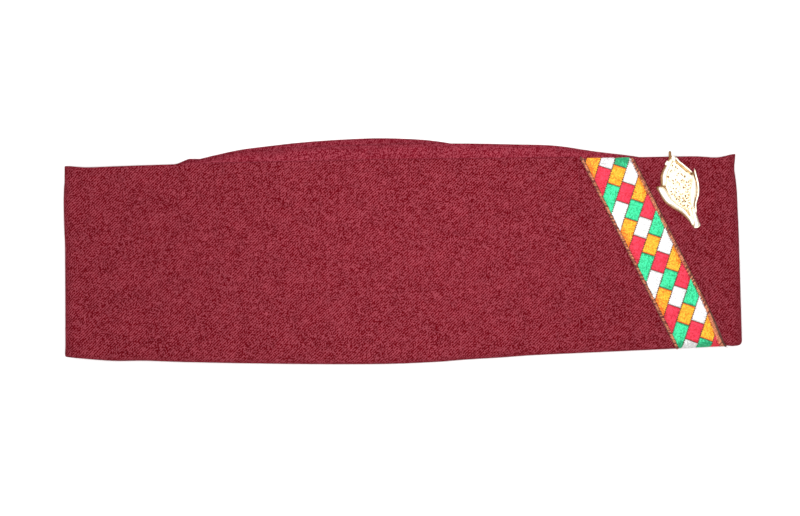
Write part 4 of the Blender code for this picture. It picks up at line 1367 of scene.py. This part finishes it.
# Place and radius of each pit.
PITS = (
    (-5.65, 7.5, 0.48), (-1.5, 13.8, 0.30), (-2.4, 11.5, 0.30), (-1.2, 10.5, 0.36), (-0.75, 9.7, 0.30),
    (-3.4, 9.7, 0.28), (-4.0, 9.5, 0.24), (0.2, 6.9, 0.30), (0.6, 6.3, 0.30), (1.25, 5.4, 0.46),
    (-1.1, 7.5, 0.28), (-7.3, 4.9, 0.28), (-4.1, 5.1, 0.30), (-2.9, 5.3, 0.30), (-4.4, 4.0, 0.28),
    (-2.7, 4.1, 0.28), (-0.7, 4.2, 0.28), (-6.3, 0.9, 0.34), (-5.0, 1.9, 0.30), (-3.9, 1.5, 0.30),
    (-0.65, 1.0, 0.42), (1.2, 2.9, 0.32), (1.8, 1.3, 0.30), (2.65, 1.7, 0.28), (-0.9, -2.7, 0.38),
    (-2.1, -3.3, 0.32), (-3.4, -2.3, 0.34), (-5.0, -2.9, 0.34), (-5.4, -1.0, 0.30), (-2.7, -4.8, 0.34),
    (-4.0, -5.4, 0.36), (-1.7, -5.0, 0.36), (-1.1, -7.1, 0.38), (-2.5, -6.6, 0.34), (-4.3, -0.2, 0.30),
    (-6.4, -0.3, 0.26), (-4.1, -3.5, 0.30), (-0.8, -3.9, 0.30), (1.0, -0.3, 0.30), (0.4, -1.3, 0.28),
    (2.4, 2.9, 0.28), (3.3, 2.8, 0.26), (-3.2, 0.2, 0.24), (-1.8, 7.0, 0.22), (-2.0, 9.4, 0.22),
    (-0.2, -6.0, 0.30), (-5.6, 5.6, 0.20), (-1.8, -1.6, 0.26), (0.0, -5.0, 0.26),
)


# %% Helpers for the brooch
def smooth_line(points, count, height=0.0):
    """count + 1 points on one smooth curve through the given ones."""
    tables = [[(index, point[axis]) for index, point in enumerate(points)] for axis in (0, 1)]
    places = [(len(points) - 1) * step / count for step in range(count + 1)]
    return [Vector((read_table(tables[0], at), read_table(tables[1], at), height)) for at in places]


def add_wire(builder, points, radius, height, count=18, sides=8, material=BRIGHT):
    """A round wire along a smooth line, thinner at its two ends."""
    line = smooth_line(points, count, height)
    widths = [radius * min(1.0, 0.35 + 3.0 * sin(pi * step / count)) for step in range(count + 1)]
    add_strand(builder, line, widths, widths, sides, material)


def add_leaf(builder, first_edge, second_edge, height, base, count=22, sides=14, material=BRIGHT):
    """A low rounded form between two edges."""
    edges = list(zip(smooth_line(first_edge, count, base), smooth_line(second_edge, count, base)))
    line = [(a + b) / 2 for a, b in edges]
    widths = [max((a - b).length / 2, 0.12) for a, b in edges]
    heights = [height * min(1.0, 0.3 + 1.6 * sin(pi * step / count)) for step in range(count + 1)]
    add_strand(builder, line, widths, heights, sides, material)


def place_brooch_part(builder, name, sharp):
    """Move a part of the brooch from its own frame onto the cuff, and make it a piece."""
    bmesh.ops.transform(builder, matrix=BROOCH_FRAME, verts=builder.verts)
    add_piece(builder, name, GILTS, "brooch", sharp)


# %% Back plate
PLATE_STEPS = 136
PLATE_TOP = 0.75
PLATE_BEVEL = 0.28

builder = bmesh.new()
outline = smooth_line(BROOCH_OUTLINE + BROOCH_OUTLINE[:1], PLATE_STEPS)[:-1]
made = bmesh.ops.create_circle(builder, cap_ends=True, segments=PLATE_STEPS, radius=1.0)
for vert, point in zip(made["verts"], outline):
    vert.co = point
lifted = bmesh.ops.extrude_face_region(builder, geom=builder.faces[:])
top = [item for item in lifted["geom"] if isinstance(item, bmesh.types.BMVert)]
bmesh.ops.translate(builder, verts=top, vec=(0.0, 0.0, PLATE_TOP))
# The plate's top is matt gilt. Its sides and bevel are dark gilt, painted shade, and the plate reaches a
# little past the petals on the left, so that a dark rim shows there as painted shadow.
for face in builder.faces:
    face.material_index = MATT if face.normal.z > 0.9 else DARK_GILT_AND_SHADE
rim = [edge for edge in builder.edges if all(vert in top for vert in edge.verts)]
bmesh.ops.bevel(builder, geom=rim, offset=PLATE_BEVEL, offset_type="OFFSET", segments=2, profile=0.5,
                affect="EDGES", material=-1)
place_brooch_part(builder, "brooch_plate", 40)

# %% Petals, borders and stem
STEM_WIDTHS = (0.6, 0.75, 0.85, 0.9, 0.92, 0.95, 1.0, 1.04, 1.1, 1.15, 1.2, 1.27, 1.36, 1.4, 1.2)

builder = bmesh.new()
add_leaf(builder, LEFT_OUTER, LEFT_INNER, 0.85, 0.75)
add_wire(builder, LEFT_LINE, 0.18, 1.48, material=MATT)
add_leaf(builder, LEFT_PATCH, LEFT_PATCH_INNER, 0.4, 1.5, 12, 10, MATT)
add_leaf(builder, FOLD_LEFT, FOLD_RIGHT, 0.5, 0.9, 12, 10, PALE)
add_leaf(builder, RIGHT_OUTER, RIGHT_INNER, 0.95, 0.75)
add_wire(builder, RIGHT_RIM, 0.42, 0.95, 24)
# The groove on the right petal is a raised dark wire: painted shade.
add_wire(builder, RIGHT_GROOVE, 0.38, 1.0, 12, material=DARK_GILT_AND_SHADE)
add_wire(builder, BAND_OUTER, 0.36, 1.0)
add_leaf(builder, BAND_FACE_OUTER, BAND_FACE_INNER, 0.35, 0.85, material=MATT)
add_wire(builder, BAND_INNER, 0.30, 1.05)
add_leaf(builder, CROWN_LEFT, CROWN_INNER, 0.8, 0.75)
add_leaf(builder, TIP_LEFT, TIP_RIGHT, 0.5, 0.75, 12)
add_wire(builder, ((-2.5, 14.6), (-2.1, 16.3), (-1.6, 18.1)), 0.6, 0.7, 8, material=DARK_GILT_AND_SHADE)
add_wire(builder, ((-5.2, 12.5), (-4.5, 13.3), (-3.5, 14.0)), 0.55, 0.85, 8, material=PALE)
heights = [0.8 + 0.03 * step for step in range(len(STEM_WIDTHS))]
add_strand(builder, smooth_line(STEM, len(heights) - 1, 0.85), STEM_WIDTHS, heights, 14)
add_wire(builder, ((-1.35, -16.3), (0.25, -16.6), (1.7, -15.9)), 0.5, 1.0, 10, 10)
add_wire(builder, ((-1.4, -16.9), (0.2, -17.2), (1.6, -16.6)), 0.25, 0.8, 10, material=PALE)
place_brooch_part(builder, "brooch_petals", 60)

# %% Granulated body
BODY_CELL = 0.22
BODY_COLUMNS = 60
BODY_ROWS = 106
BODY_CORNER = (-8.2, -9.5)
SKIRT_FOOT = 0.4
PIT_DEPTH = 0.5
SPECK_LIMIT = 0.24
SPECK_RISE = 0.014  # how much denser the matt specks grow for each millimetre towards the stem
SPECK_MIDDLE = 3.0
GRAIN_TRIES = 2600
GRAIN_LIMIT = 0.86
GRAIN_SPACING = 0.85
GRAIN_FLATNESS = 0.6


def inside_body(x, y, margin):
    """True where a place lies inside the body's edge by a margin."""
    inside = False
    nearest = 99.0
    for (x1, y1), (x2, y2) in zip(BODY_EDGE, BODY_EDGE[1:] + BODY_EDGE[:1]):
        if (y1 > y) != (y2 > y) and x < (x2 - x1) * (y - y1) / (y2 - y1) + x1:
            inside = not inside
        length = hypot(x2 - x1, y2 - y1)
        share = max(0.0, min(1.0, ((x - x1) * (x2 - x1) + (y - y1) * (y2 - y1)) / length ** 2))
        nearest = min(nearest, hypot(x - x1 - share * (x2 - x1), y - y1 - share * (y2 - y1)))
    return inside and nearest > margin


def dome_height(x, y):
    """Height of the body's dome."""
    away = hypot((x + 1.7) / 6.4, (y - 2.2) / 11.5)
    return PLATE_TOP + 0.75 * max(0.0, 1.0 - away ** 2)


def pit_depth(x, y):
    """How deep the body is dented at a place."""
    return sum(PIT_DEPTH * hump(hypot(x - px, y - py), 0.0, radius) for px, py, radius in PITS)


def body_gilt_and_pit_shade(x, y):
    """Dark gilt as painted shade in the pits, matt in specks that grow denser towards the stem, and pale
    elsewhere.
    """
    if any(hypot(x - px, y - py) < radius for px, py, radius in PITS):
        return DARK_GILT_AND_SHADE
    speck = noise.noise(Vector((1.9 * x, 1.9 * y, 0.0))) + SPECK_RISE * (SPECK_MIDDLE - y)
    return MATT if speck > SPECK_LIMIT else PALE


def add_grain(builder, x, y, radius, material):
    """A low grain on the dome."""
    before = len(builder.faces)
    place = Matrix.Translation((x, y, dome_height(x, y))) @ Matrix.Diagonal((1.0, 1.0, GRAIN_FLATNESS, 1.0))
    bmesh.ops.create_icosphere(builder, subdivisions=2, radius=radius, matrix=place)
    builder.faces.ensure_lookup_table()
    for face in builder.faces[before:]:
        face.material_index = material


dice = random.Random(5)
builder = bmesh.new()
bmesh.ops.create_grid(builder, x_segments=BODY_COLUMNS, y_segments=BODY_ROWS, size=0.5)
for vert in builder.verts:
    vert.co.x = BODY_CORNER[0] + (vert.co.x + 0.5) * BODY_COLUMNS * BODY_CELL
    vert.co.y = BODY_CORNER[1] + (vert.co.y + 0.5) * BODY_ROWS * BODY_CELL
outer = [face for face in builder.faces if not inside_body(*face.calc_center_median().xy, 0.0)]
bmesh.ops.delete(builder, geom=outer, context="FACES")
for face in builder.faces:
    face.material_index = body_gilt_and_pit_shade(*face.calc_center_median().xy)
for vert in builder.verts:
    vert.co.z = dome_height(vert.co.x, vert.co.y) - pit_depth(vert.co.x, vert.co.y)
skirt = bmesh.ops.extrude_edge_only(builder, edges=[edge for edge in builder.edges if edge.is_boundary])
for item in skirt["geom"]:
    if isinstance(item, bmesh.types.BMVert):
        item.co.z = SKIRT_FOOT
placed = list(PITS)
for attempt in range(GRAIN_TRIES):
    x = dice.uniform(-7.6, 4.4)
    y = dice.uniform(-9.4, 13.6)
    radius = dice.uniform(0.30, 0.42)
    room = radius * GRAIN_SPACING
    if inside_body(x, y, 0.1) and all(hypot(x - a, y - b) >= r + room for a, b, r in placed):
        tint = dice.random() + SPECK_RISE * 2.0 * (SPECK_MIDDLE - y)
        add_grain(builder, x, y, radius, MATT if tint > GRAIN_LIMIT else PALE)
        placed.append((x, y, radius))
print("pits", len(PITS), "grains", len(placed) - len(PITS))
place_brooch_part(builder, "brooch_body", 60)

# %% [markdown]
# ## The pin
#
# The pin behind the brooch keeps the shape of its solid. Only its finish changes: drawn steel wire with
# fine lines along it.

# %% Finish of the pin
def make_pin_steel():
    """Drawn steel wire."""
    material, shader = new_material("pin steel", {"Metallic": 1.0})
    place = new_node(material.node_tree, "ShaderNodeTexCoord", {}, "Object")
    streaks = new_noise(place, 1800.0, 3.0, 0.6)
    colour = blend_colours(spread(streaks, 0.35, 0.65), (0.50, 0.48, 0.45, 1.0), (0.62, 0.60, 0.57, 1.0))
    feed(shader, {"Base Color": colour, "Roughness": spread(streaks, 0.3, 0.7, 0.28, 0.42)})
    return material


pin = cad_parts["brooch_pin"]
for material_slot in pin.material_slots:
    material_slot.material = make_pin_steel()
if not pin.material_slots:
    pin.data.materials.append(make_pin_steel())
